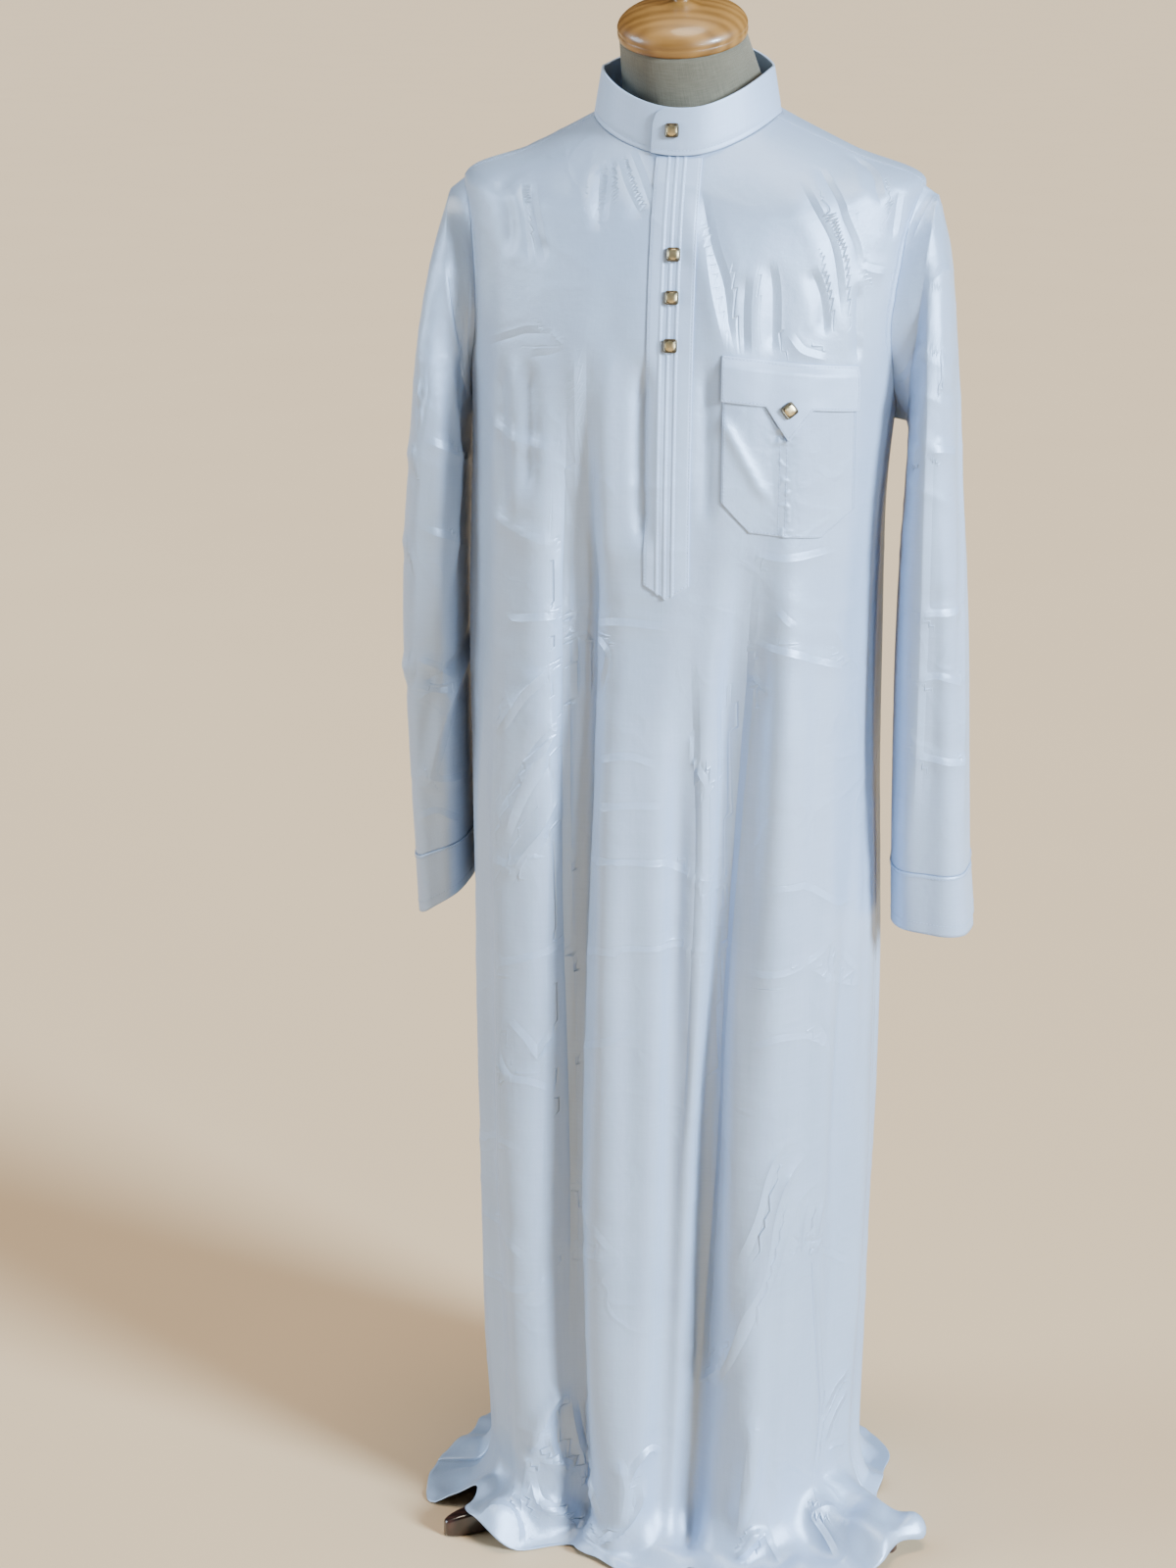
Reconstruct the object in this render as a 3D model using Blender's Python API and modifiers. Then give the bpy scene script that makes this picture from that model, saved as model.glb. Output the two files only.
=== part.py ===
"""A long white robe with a band collar, worn by a limbless dress form on a three-legged stand.

Metres, +Z up, the front towards -Y. The origin is on the floor, under the middle of the stand.
Left and right are the wearer's own, so the left sleeve is at +X. Every cloth piece is a wall cut
from one set of surfaces: the body is read from RINGS, the sleeves from LEFT_SLEEVE and
RIGHT_SLEEVE, and what is sewn on the front lies on the front's own points, moved out.
"""

import math
from collections import namedtuple

import bmesh
import bpy
import numpy as np
from mathutils import Matrix, Vector

# Cloth
WALL = 0.0015
SEAM_GAP = 0.0005
SOFT_GAP = 0.0004

# Collar
COLLAR_HEIGHT = 0.042
COLLAR_WALL = 0.0022
COLLAR_LAP = 0.036
COLLAR_TAPER = 0.085
COLLAR_CORNER = 0.016
COLLAR_LEAN = np.array([0.0, -0.10, 0.995])
COLLAR_BUTTON_RISE = 0.022
COLLAR_BUTTON_OUT = 0.0039

# Placket
PLACKET_WIDTH = 0.042
PLACKET_TOP = 1.392
PLACKET_SHOULDER = 1.016
PLACKET_TIP = 1.003
TUCK_PLACES = (-0.0088, -0.0016, 0.0056)
TUCK_WIDTH = 0.0022
TUCK_HEIGHT = 0.0012

# Breast pocket, on the wearer's left
POCKET_MIDDLE = 0.107
POCKET_WIDTH = 0.116
POCKET_TOP = 1.207
POCKET_BOTTOM = 1.062
POCKET_CHAMFER = 0.026
BAG_FULLNESS = 0.003
FLAP_TOP = 1.221
FLAP_DEPTH = 0.041
FLAP_POINT = 0.030
FLAP_POINT_WIDTH = 0.040
FLAP_RISE = 0.011
FLAP_CLEAR = 0.0012
POCKET_SLOPE = 0.11

# Buttons
BUTTON_SIDE = 0.0125
BUTTON_THICK = 0.0036
BUTTON_CORNER = 0.0034
PLACKET_BUTTONS = (1.314, 1.277, 1.235)

# Dress form and stand
NECK_TILT = math.radians(19)
NECK_PLACE = (-0.009, -0.012, 1.500)
CAP_RADIUS = 0.0600
CAP_RIM = 0.0085
CAP_DOME = 0.021
CAP_EDGE = 0.0012
KNOB = (
    (0.0, 0.054),
    (0.0065, 0.0525),
    (0.0100, 0.046),
    (0.0085, 0.039),
    (0.0070, 0.034),
    (0.0125, 0.0305),
)
POLE_RADIUS = 0.014
FORM_BOTTOM = 0.74
HARD_GAP = 0.0003
HUB_HEIGHT = 0.075
HUB_RADIUS = 0.036
LEG_LENGTH = 0.236
LEG_HEIGHT = 0.024
LEG_WIDTH = 0.028
LEG_TOP_SHARE = 0.84
TOE_START = 0.82
LEG_ANGLES = {"stand_leg_right": -145, "stand_leg_left": -25, "stand_leg_back": 95}

# Body sections, from the hem up. left and right are half widths, at the wearer's own left and
# right; front and back are depths; the three heights are at the side, front and back; boxy swells
# the corners; spread is how far the section follows the hem's own outline on the floor.
Ring = namedtuple("Ring", "name left right front back side_z front_z back_z boxy spread")
RINGS = (
    Ring("hem edge", 0.190, 0.190, 0.160, 0.160, 0.0032, 0.0032, 0.0032, 0.02, 1.0),
    Ring("floor break", 0.186, 0.192, 0.156, 0.156, 0.011, 0.012, 0.011, 0.02, 0.42),
    Ring("ankle", 0.183, 0.196, 0.151, 0.153, 0.060, 0.058, 0.060, 0.03, 0.06),
    Ring("shin", 0.186, 0.208, 0.150, 0.155, 0.190, 0.185, 0.190, 0.04, 0.0),
    Ring("knee", 0.190, 0.213, 0.152, 0.152, 0.420, 0.415, 0.420, 0.05, 0.0),
    Ring("thigh", 0.190, 0.213, 0.155, 0.147, 0.660, 0.655, 0.660, 0.06, 0.0),
    Ring("hip", 0.187, 0.209, 0.157, 0.140, 0.880, 0.880, 0.880, 0.07, 0.0),
    Ring("waist", 0.187, 0.206, 0.158, 0.133, 1.035, 1.045, 1.040, 0.08, 0.0),
    Ring("armpit", 0.194, 0.204, 0.152, 0.129, 1.150, 1.165, 1.160, 0.09, 0.0),
    Ring("chest", 0.201, 0.205, 0.146, 0.125, 1.215, 1.238, 1.235, 0.09, 0.0),
    Ring("armhole", 0.209, 0.208, 0.136, 0.117, 1.290, 1.297, 1.308, 0.08, 0.0),
    Ring("shoulder tip", 0.217, 0.215, 0.122, 0.104, 1.369, 1.343, 1.363, 0.05, 0.0),
    Ring("shoulder", 0.152, 0.153, 0.108, 0.088, 1.399, 1.373, 1.409, 0.03, 0.0),
    Ring("neck", 0.081, 0.091, 0.094, 0.073, 1.430, 1.398, 1.452, 0.02, 0.0),
)
ARMPIT, TIP, NECK = 8, 11, 13
# Extra rows where the folds begin, under the placket's foot
CLOSER_ROWS = (6.75, 7.25)
SLEEVE_COLUMNS = 24

# Where the front and the back are sewn, as angles from the wearer's left side, by ring. The two
# edges part between the armpit and the shoulder tip, which leaves the armhole. gap is the seam's.
Edge = namedtuple("Edge", "ring front back gap")
EDGES = (
    Edge(0, -4, -4, 0.0005),
    Edge(ARMPIT - 0.6, -2, -2, 0.0005),
    Edge(ARMPIT, -1, -1, 0.0005),
    Edge(ARMPIT + 0.5, -16, 14, 0.0005),
    Edge(ARMPIT + 1.5, -26, 23, 0.0005),
    Edge(ARMPIT + 2.4, -22, 15, 0.0005),
    Edge(TIP - 0.2, -15, 4, 0.0010),
    Edge(TIP, -7, -7, 0.0022),
    Edge(TIP + 0.7, -11, -11, 0.0018),
    Edge(NECK, -14, -14, 0.0012),
)

# The hem's outline where it lies on the floor: its distance from the middle, by angle.
Reach = namedtuple("Reach", "angle distance")
REACHES = (
    Reach(-180, 0.258),
    Reach(-160, 0.272),
    Reach(-151, 0.222),
    Reach(-143, 0.240),
    Reach(-131, 0.226),
    Reach(-119, 0.202),
    Reach(-108, 0.176),
    Reach(-96, 0.192),
    Reach(-80, 0.208),
    Reach(-62, 0.226),
    Reach(-46, 0.240),
    Reach(-33, 0.278),
    Reach(-22, 0.290),
    Reach(-12, 0.246),
    Reach(0, 0.212),
    Reach(24, 0.226),
    Reach(48, 0.242),
    Reach(70, 0.226),
    Reach(94, 0.242),
    Reach(120, 0.228),
    Reach(146, 0.244),
    Reach(163, 0.236),
)

# The largest folds. An angle at the top and at the hem, the height where the fold begins and the
# height where it is full, its depth (in is negative) and its half width in degrees.
Fold = namedtuple("Fold", "name high_angle low_angle top full depth width")
FOLDS = (
    Fold("right flute", -134, -134, 1.22, 0.75, 0.015, 11),
    Fold("right valley", -114, -117, 1.25, 1.00, -0.027, 5.2),
    Fold("middle flute", -100, -101, 1.00, 0.74, 0.014, 9),
    Fold("middle valley", -84, -90, 0.99, 0.74, -0.012, 5),
    Fold("left valley", -67, -80, 1.12, 0.86, -0.027, 5.2),
    Fold("left flute", -52, -61, 1.10, 0.80, 0.017, 13),
    Fold("left side valley", -25, -29, 1.00, 0.55, -0.012, 6.5),
    Fold("left back flute", 24, 24, 1.00, 0.60, 0.011, 11),
    Fold("left back valley", 46, 44, 1.20, 0.90, -0.018, 6),
    Fold("back left flute", 66, 68, 1.14, 0.80, 0.013, 10),
    Fold("back valley", 92, 90, 1.20, 0.90, -0.017, 6),
    Fold("back right flute", 114, 112, 1.14, 0.80, 0.014, 11),
    Fold("right back valley", 137, 136, 1.20, 0.90, -0.018, 6),
    Fold("right back flute", 158, 158, 1.00, 0.60, 0.010, 10),
)

# The panels' columns, as angles at the waist. They stand closer where the folds are narrow.
FRONT_COLUMNS = (
    -176, -169, -162, -155, -148, -141, -134, -127, -121, -116.5, -112, -107, -101, -95, -90, -85,
    -81, -77, -73.5, -70, -66.5, -62, -56, -49, -42, -35, -28.5, -22.5, -16, -10, -4,
)
BACK_COLUMNS = (
    -4, 5, 14, 23, 31, 38, 44, 50, 58, 66, 75, 84, 90, 96, 104, 113, 122, 130, 136, 142, 150, 158,
    167, 176, 184,
)

# Sleeve sections, from the cuff's hem up: the inner and outer points across the arm, the middle and
# half depth from front to back. The top of the sleeve is the body's own armhole.
Section = namedtuple("Section", "name inner_x inner_z outer_x outer_z middle_y depth boxy")
LEFT_SLEEVE = (
    Section("hem", 0.2085, 0.655, 0.2875, 0.648, 0.004, 0.054, 0.16),
    Section("cuff seam", 0.2060, 0.716, 0.2825, 0.713, 0.000, 0.056, 0.15),
    Section("wrist", 0.2045, 0.780, 0.2800, 0.780, -0.004, 0.061, 0.14),
    Section("forearm", 0.2040, 0.900, 0.2745, 0.900, -0.010, 0.068, 0.13),
    Section("elbow", 0.2050, 1.010, 0.2670, 1.010, -0.012, 0.074, 0.12),
    Section("upper arm", 0.2080, 1.095, 0.2580, 1.118, -0.010, 0.079, 0.11),
    Section("underarm", 0.2090, 1.138, 0.2520, 1.210, -0.006, 0.081, 0.09),
    Section("cap", 0.2080, 1.146, 0.2425, 1.302, -0.004, 0.074, 0.06),
    Section("crown", 0.2070, 1.149, 0.2285, 1.358, -0.003, 0.064, 0.03),
)
RIGHT_SLEEVE = (
    Section("hem", 0.2180, 0.668, 0.2700, 0.634, 0.024, 0.066, 0.14),
    Section("cuff seam", 0.2170, 0.722, 0.2725, 0.698, 0.016, 0.066, 0.14),
    Section("wrist", 0.2160, 0.780, 0.2760, 0.772, 0.008, 0.068, 0.13),
    Section("forearm", 0.2160, 0.900, 0.2770, 0.900, -0.004, 0.071, 0.12),
    Section("elbow", 0.2150, 1.010, 0.2730, 1.010, -0.010, 0.075, 0.12),
    Section("upper arm", 0.2120, 1.095, 0.2640, 1.118, -0.010, 0.079, 0.11),
    Section("underarm", 0.2110, 1.138, 0.2560, 1.210, -0.006, 0.081, 0.09),
    Section("cap", 0.2090, 1.146, 0.2430, 1.302, -0.004, 0.074, 0.06),
    Section("crown", 0.2070, 1.149, 0.2280, 1.358, -0.003, 0.064, 0.03),
)
CUFF_SEAM = 1

# Dress form sections, from its flat underside up to the neck
Form = namedtuple("Form", "name half front back side_z front_z back_z")
FORM = (
    Form("underside", 0.140, 0.098, 0.096, FORM_BOTTOM, FORM_BOTTOM, FORM_BOTTOM),
    Form("hip", 0.162, 0.116, 0.112, 0.775, 0.775, 0.775),
    Form("high hip", 0.160, 0.116, 0.108, 0.880, 0.880, 0.880),
    Form("waist", 0.150, 0.110, 0.096, 1.000, 1.000, 1.000),
    Form("chest", 0.166, 0.122, 0.106, 1.170, 1.175, 1.170),
    Form("upper chest", 0.178, 0.116, 0.102, 1.270, 1.275, 1.280),
    Form("shoulder side", 0.190, 0.102, 0.090, 1.345, 1.327, 1.345),
    Form("shoulder", 0.150, 0.090, 0.078, 1.4001, 1.364, 1.395),
    Form("neck root", 0.077, 0.072, 0.060, 1.424, 1.390, 1.436),
    Form("neck", 0.066, 0.066, 0.054, 1.454, 1.426, 1.474),
)

# Colours, roughness and metallic value
Finish = namedtuple("Finish", "colour roughness metallic")
SATIN = Finish((0.62, 0.68, 0.78), 0.42, 0.0)
SATIN_TRIM = Finish((0.68, 0.73, 0.82), 0.42, 0.0)
BRASS = Finish((0.62, 0.50, 0.30), 0.32, 1.0)
LINEN = Finish((0.22, 0.20, 0.155), 0.85, 0.0)
VARNISHED_WOOD = Finish((0.42, 0.26, 0.12), 0.25, 0.0)
DARK_WOOD = Finish((0.030, 0.012, 0.010), 0.28, 0.0)


def smooth_curve(places, values, x):
    """Values at x on a smooth curve through a table's values at its places."""
    places, values = np.asarray(places, float), np.asarray(values, float)
    x = np.clip(x, places[0], places[-1])
    rises = np.diff(values) / np.diff(places)
    before, after = rises[:-1], rises[1:]
    level = before * after <= 0
    middles = np.where(level, 0, 2 * before * after / np.where(level, 1, before + after))
    slopes = np.concatenate([rises[:1], middles, rises[-1:]])
    i = np.clip(np.searchsorted(places, x, side="right") - 1, 0, len(places) - 2)
    span = places[i + 1] - places[i]
    f = (x - places[i]) / span
    rise = values[i + 1] - values[i]
    start, end = slopes[i] * span, slopes[i + 1] * span
    return values[i] + f * (start + f * (3 * rise - 2 * start - end + f * (start + end - 2 * rise)))


def column(rows, name, v):
    """A table's column as a smooth curve over the row number v."""
    return smooth_curve(range(len(rows)), [getattr(row, name) for row in rows], v)


def smooth_step(low, high, x):
    f = np.clip((x - low) / (high - low), 0, 1)
    return f * f * (3 - 2 * f)


def hem_reach(angle):
    """How far the hem lies from the middle, at an angle in degrees, all the way round."""
    places = [r.angle for r in REACHES]
    values = [r.distance for r in REACHES]
    around = [places[-1] - 360] + places + [places[0] + 360]
    beyond = [values[-1]] + values + [values[0]]
    return smooth_curve(around, beyond, (angle + 180) % 360 - 180)


def fold_out(angle, z):
    """How far the folds move the cloth out, at an angle in degrees and a height."""
    out = np.zeros_like(z)
    for fold in FOLDS:
        drop = np.clip((fold.top - z) / fold.top, 0, 1)
        middle = fold.high_angle + (fold.low_angle - fold.high_angle) * drop
        away = ((angle - middle + 180) % 360 - 180) / fold.width
        out += fold.depth * smooth_step(fold.top, fold.full, z) * np.exp(-away * away)
    return out


def over_legs(x, y, z):
    """The cloth's height where it is lifted over the stand's legs."""
    for degrees in LEG_ANGLES.values():
        a = math.radians(degrees)
        along = x * math.cos(a) + y * math.sin(a)
        across = np.abs(y * math.cos(a) - x * math.sin(a))
        cover = (1 - smooth_step(0.024, 0.062, across)) * (along > 0)
        cover = cover * (1 - smooth_step(-0.006, 0.018, along - HUB_RADIUS - LEG_LENGTH))
        z = z + cover * (LEG_HEIGHT + 0.005) * (1 - smooth_step(0.0, 0.075, z))
    return z


def body(angle, v):
    """Points of the body's outer skin, at angles in degrees and ring numbers."""
    t = np.radians(angle)
    c, s = np.cos(t), np.sin(t)
    swell = 1 + column(RINGS, "boxy", v) * np.sin(2 * t) ** 2
    x = c * swell * np.where(c > 0, column(RINGS, "left", v), column(RINGS, "right", v))
    y = s * swell * np.where(s < 0, column(RINGS, "front", v), column(RINGS, "back", v))
    side_z = column(RINGS, "side_z", v)
    end_z = np.where(s < 0, column(RINGS, "front_z", v), column(RINGS, "back_z", v))
    z = side_z + (end_z - side_z) * s * s
    away = np.hypot(x, y)
    plan = np.degrees(np.arctan2(y, x))
    reach = away + (hem_reach(plan) - away) * np.clip(column(RINGS, "spread", v), 0, 1)
    grow = (reach + fold_out(angle, z)) / away
    x, y = x * grow, y * grow
    return np.stack([x, y, over_legs(x, y, z)], axis=-1)


def edge_angle(v, panel, wearers_left):
    """The angle of a panel's sewn edge, with half of the seam's gap taken off."""
    rings = [edge.ring for edge in EDGES]
    angle = smooth_curve(rings, [getattr(edge, panel) for edge in EDGES], v)
    degree = np.linalg.norm(body(angle + 1, v) - body(angle, v), axis=-1)
    half_gap = smooth_curve(rings, [edge.gap for edge in EDGES], v) / 2
    turned_back = np.minimum(half_gap / degree, 1.0)
    angle = angle - turned_back if panel == "front" else angle + turned_back
    return angle if wearers_left else (-180 - angle if panel == "front" else 180 - angle)


def panel_rows():
    """The ring numbers of the panels' rows. Round the armhole they are the sleeve's own points."""
    round_armhole = np.linspace(ARMPIT, TIP, SLEEVE_COLUMNS // 2 + 1)
    below = np.concatenate([np.arange(0, ARMPIT, 0.5), CLOSER_ROWS])
    return np.concatenate([np.sort(below), round_armhole, np.linspace(TIP, NECK, 6)[1:]])


def panel_point(panel, across, up):
    """Points of the front or back panel, both parameters running from 0 to 1."""
    rows = panel_rows()
    v = np.interp(up * (len(rows) - 1), range(len(rows)), rows)
    left = edge_angle(v, panel, True)
    right = edge_angle(v, panel, False)
    start, end = (right, left) if panel == "front" else (left, right)
    stops = FRONT_COLUMNS if panel == "front" else BACK_COLUMNS
    share = np.interp(across, np.linspace(0, 1, len(stops)), stops)
    return body(start + (end - start) * (share - stops[0]) / (stops[-1] - stops[0]), v)


def front_skin(x, z, out=0.0):
    """Points above the front at the given x and height, moved out from its skin."""
    x, z = np.broadcast_arrays(np.asarray(x, float), np.asarray(z, float))
    angle = -90 + np.degrees(x / 0.2)
    v = np.interp(z, [r.front_z for r in RINGS], range(len(RINGS)))
    step = 1e-3
    for _ in range(8):
        here = body(angle, v)
        turn = (body(angle + step, v) - here) / step
        rise = (body(angle, v + step) - here) / step
        miss_x, miss_z = x - here[..., 0], z - here[..., 2]
        both = turn[..., 0] * rise[..., 2] - rise[..., 0] * turn[..., 2]
        angle = angle + (miss_x * rise[..., 2] - miss_z * rise[..., 0]) / both
        v = v + (turn[..., 0] * miss_z - turn[..., 2] * miss_x) / both
    normal = np.cross(turn, rise)
    normal /= np.linalg.norm(normal, axis=-1, keepdims=True)
    return here + normal * np.asarray(out)[..., None], normal


def armhole(around, wearers_left):
    """Points round the armhole: 0 is the shoulder tip, and the front comes first on the left."""
    v = TIP - (TIP - ARMPIT) * (1 - np.abs(around / math.pi - 1))
    to_front = np.sin(around) * (1 if wearers_left else -1) < 0
    front = body(edge_angle(v, "front", wearers_left), v)
    back = body(edge_angle(v, "back", wearers_left), v)
    return np.where(to_front[:, None], front, back)


def sleeve_point(rows, wearers_left, around, v):
    """Points of a sleeve's outer skin: v counts its sections, and the last step is the armhole."""
    side = 1 if wearers_left else -1
    top = len(rows) - 1
    low = np.minimum(v, top)
    inner_x, outer_x = column(rows, "inner_x", low), column(rows, "outer_x", low)
    inner_z, outer_z = column(rows, "inner_z", low), column(rows, "outer_z", low)
    c, s = np.cos(around), np.sin(around)
    swell = 1 + column(rows, "boxy", low) * np.sin(2 * around) ** 2
    x = (inner_x + outer_x) / 2 + (outer_x - inner_x) / 2 * c * swell
    z = (inner_z + outer_z) / 2 + (outer_z - inner_z) / 2 * c * swell
    y = column(rows, "middle_y", low) + side * s * swell * column(rows, "depth", low)
    hanging = np.stack([side * x, y, z], axis=-1)
    sewn = armhole(around, wearers_left)
    sewn[:, 0] += side * SEAM_GAP * 1.6
    return hanging + (sewn - hanging) * (v - low)[:, None]


def collection(name):
    made = bpy.data.collections.new(name)
    bpy.context.scene.collection.children.link(made)
    return made


def finish(name, obj, look):
    """Names the object and gives it its own material."""
    obj.name = name
    material = bpy.data.materials.new(name)
    material.use_nodes = True
    shader = material.node_tree.nodes["Principled BSDF"]
    shader.inputs["Base Color"].default_value = (*look.colour, 1)
    shader.inputs["Roughness"].default_value = look.roughness
    shader.inputs["Metallic"].default_value = look.metallic
    obj.data.materials.clear()
    obj.data.materials.append(material)
    return obj


def mesh_object(bm, group, name, look):
    mesh = bpy.data.meshes.new(name)
    bm.to_mesh(mesh)
    bm.free()
    mesh.shade_smooth()
    obj = bpy.data.objects.new(name, mesh)
    group.objects.link(obj)
    return finish(name, obj, look)


def warped_grid(place, columns, rows, closed=False):
    """A grid of quads whose points go where place(across, up) says, both from 0 to 1."""
    bm = bmesh.new()
    bmesh.ops.create_grid(bm, x_segments=columns, y_segments=rows, size=0.5)
    flat = np.array([vert.co for vert in bm.verts]) + 0.5
    for vert, point in zip(bm.verts, place(flat[:, 0], flat[:, 1])):
        vert.co = point
    if closed:
        bmesh.ops.remove_doubles(bm, verts=bm.verts, dist=1e-6)
    return bm


def cloth(group, name, place, columns, rows, closed=False, wall=WALL, look=SATIN):
    """A wall of cloth whose outer skin is the warped grid."""
    obj = mesh_object(warped_grid(place, columns, rows, closed), group, name, look)
    shell = obj.modifiers.new("Solidify", "SOLIDIFY")
    shell.thickness = wall
    shell.offset = -1
    shell.use_even_offset = True
    return obj


def make_sleeve(group, side_name, rows, wearers_left):
    """A sleeve down to its cuff's seam, and the cuff, which ends in the open hem."""
    top = len(rows)
    seam_share = SEAM_GAP / 0.06 / 2

    def sleeve(across, up):
        v = CUFF_SEAM + seam_share + (top - CUFF_SEAM - seam_share) * up
        return sleeve_point(rows, wearers_left, across * 2 * math.pi, v)

    def cuff(across, up):
        v = (CUFF_SEAM - seam_share) * up
        return sleeve_point(rows, wearers_left, across * 2 * math.pi, v)

    cloth(group, f"sleeve_{side_name}", sleeve, SLEEVE_COLUMNS, 16, closed=True)
    cloth(group, f"cuff_{side_name}", cuff, SLEEVE_COLUMNS, 2, closed=True)


def make_collar(group):
    """A stiff band round the neck seam. Its outer end laps over its inner end at the front."""
    lap = COLLAR_LAP / 2
    seam_radius = 0.09
    start = -90 - math.degrees((lap + 0.007) / seam_radius)
    end = start + 360 + math.degrees(COLLAR_LAP / seam_radius)

    def band(across, up):
        angle = start + (end - start) * across
        base = body((angle + 180) % 360 - 180, np.full_like(angle, NECK))
        out = base * [1, 1, 0]
        out /= np.linalg.norm(out, axis=1, keepdims=True)
        along = np.radians(angle - start) * seam_radius
        lapped = 1 - smooth_step(COLLAR_LAP + 0.006, COLLAR_LAP + 0.05, along)
        short = np.clip(COLLAR_CORNER - along, 0, COLLAR_CORNER)
        drop = COLLAR_CORNER - np.sqrt(COLLAR_CORNER**2 - short**2)
        height = (0.0006 + (COLLAR_HEIGHT - drop) * up)[:, None]
        shrunk = base * (1 - COLLAR_TAPER * height / COLLAR_HEIGHT * [1, 1, 0])
        return shrunk + out * (0.0008 + 0.0027 * lapped)[:, None] + COLLAR_LEAN * height

    cloth(group, "collar", band, 50, 2, wall=COLLAR_WALL, look=SATIN_TRIM)


def make_placket(group):
    """The front's button strip: a pointed foot, and three stitched tucks along it."""
    half = PLACKET_WIDTH / 2
    edges = [-half, half]
    for tuck in TUCK_PLACES:
        edges += [tuck + TUCK_WIDTH * share for share in (-1, -0.35, 0.35, 1)]
    edges = np.array(sorted(edges))

    def strip(across, up):
        x = np.interp(across, np.linspace(0, 1, len(edges)), edges)
        foot = PLACKET_TIP + (PLACKET_SHOULDER - PLACKET_TIP) * np.abs(x) / half
        z = foot + (PLACKET_TOP - foot) * up
        tucks = sum((np.abs(x - tuck) < TUCK_WIDTH / 2) * 1.0 for tuck in TUCK_PLACES)
        return front_skin(x, z, SOFT_GAP + WALL + TUCK_HEIGHT * tucks)[0]

    def lining(across, up):
        x = np.interp(across, np.linspace(0, 1, len(edges)), edges)
        foot = PLACKET_TIP + (PLACKET_SHOULDER - PLACKET_TIP) * np.abs(x) / half
        return front_skin(x, foot + (PLACKET_TOP - foot) * up, SOFT_GAP)[0]

    walled(group, "placket", strip, lining, len(edges) - 1, 22, SATIN_TRIM)


def walled(group, name, outer, inner, columns, rows, look):
    """A wall between two warped grids that share their edges."""
    bm = warped_grid(outer, columns, rows)
    skin = list(bm.verts)
    rims = [edge for edge in bm.edges if edge.is_boundary]
    flat = warped_grid(inner, columns, rows)
    below = [bm.verts.new(vert.co) for vert in flat.verts]
    for face in flat.faces:
        bm.faces.new([below[vert.index] for vert in reversed(face.verts)])
    bm.verts.index_update()
    flat.free()
    for edge in rims:
        face = edge.link_faces[0]
        a, b = edge.verts
        loop = next(loop for loop in face.loops if loop.edge == edge)
        if loop.vert == a:
            a, b = b, a
        bm.faces.new([a, b, below[skin.index(b)], below[skin.index(a)]])
    return mesh_object(bm, group, name, look)


def pocket_middle(u, width):
    return POCKET_MIDDLE + (u - 0.5) * width


def make_pocket(group):
    """The breast pocket's bag with its cut corners, and the pointed flap over its mouth."""

    def bag(across, up):
        x = pocket_middle(across, POCKET_WIDTH)
        from_side = np.minimum(across, 1 - across) * POCKET_WIDTH
        cut = np.clip(1 - from_side / POCKET_CHAMFER, 0, 1)
        foot = POCKET_BOTTOM + POCKET_CHAMFER * cut + 0.002 * np.abs(across - 0.5)
        z = foot + (POCKET_TOP - foot) * up - POCKET_SLOPE * (x - POCKET_MIDDLE)
        fullness = BAG_FULLNESS * np.sin(math.pi * across) * up
        return front_skin(x, z, SOFT_GAP * 2 + WALL + fullness)[0]

    def flap(across, up):
        x = pocket_middle(across, POCKET_WIDTH + 0.003)
        point = np.clip(1 - np.abs(x - POCKET_MIDDLE) / (FLAP_POINT_WIDTH / 2), 0, 1)
        foot = FLAP_TOP - FLAP_DEPTH - FLAP_POINT * point
        mouth = FLAP_TOP - FLAP_RISE
        lower = foot + (mouth - foot) * up / 0.8
        upper = mouth + FLAP_RISE * (up - 0.8) / 0.2
        z = np.where(up < 0.8, lower, upper)
        over_bag = FLAP_CLEAR + WALL + BAG_FULLNESS * np.sin(math.pi * across)
        raised = over_bag * np.clip((FLAP_TOP - z) / FLAP_RISE, 0, 1)
        z = z - POCKET_SLOPE * (x - POCKET_MIDDLE)
        return front_skin(x, z, SOFT_GAP + WALL + raised)[0]

    cloth(group, "pocket", bag, 16, 8, look=SATIN_TRIM)
    cloth(group, "pocket_flap", flap, 20, 5, look=SATIN_TRIM)


def make_button(group, name, place, normal, turn=0.0):
    """A rounded square button with its back on place, facing along normal."""
    bpy.ops.mesh.primitive_cube_add(size=1)
    obj = bpy.context.object
    obj.scale = (BUTTON_SIDE, BUTTON_SIDE, BUTTON_THICK)
    bpy.ops.object.transform_apply(scale=True)
    for owner in list(obj.users_collection):
        owner.objects.unlink(obj)
    group.objects.link(obj)
    weights = obj.data.attributes.new("bevel_weight_edge", "FLOAT", "EDGE")
    for edge in obj.data.edges:
        weights.data[edge.index].value = 1.0 if is_upright(obj.data, edge) else 0.26
    bevel = obj.modifiers.new("Bevel", "BEVEL")
    bevel.limit_method = "WEIGHT"
    bevel.width = BUTTON_CORNER
    bevel.segments = 2
    normal = Vector(normal)
    across = Vector((1, 0, 0)) - normal * normal.x
    frame = Matrix((across.normalized(), normal.cross(across).normalized(), normal)).transposed()
    obj.rotation_euler = (frame @ Matrix.Rotation(turn, 3, "Z")).to_euler()
    obj.location = Vector(place) + normal * (BUTTON_THICK / 2)
    return finish(name, obj, BRASS)


def is_upright(mesh, edge):
    a, b = (mesh.vertices[i].co for i in edge.vertices)
    return abs(a.z - b.z) > BUTTON_THICK / 2


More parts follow.
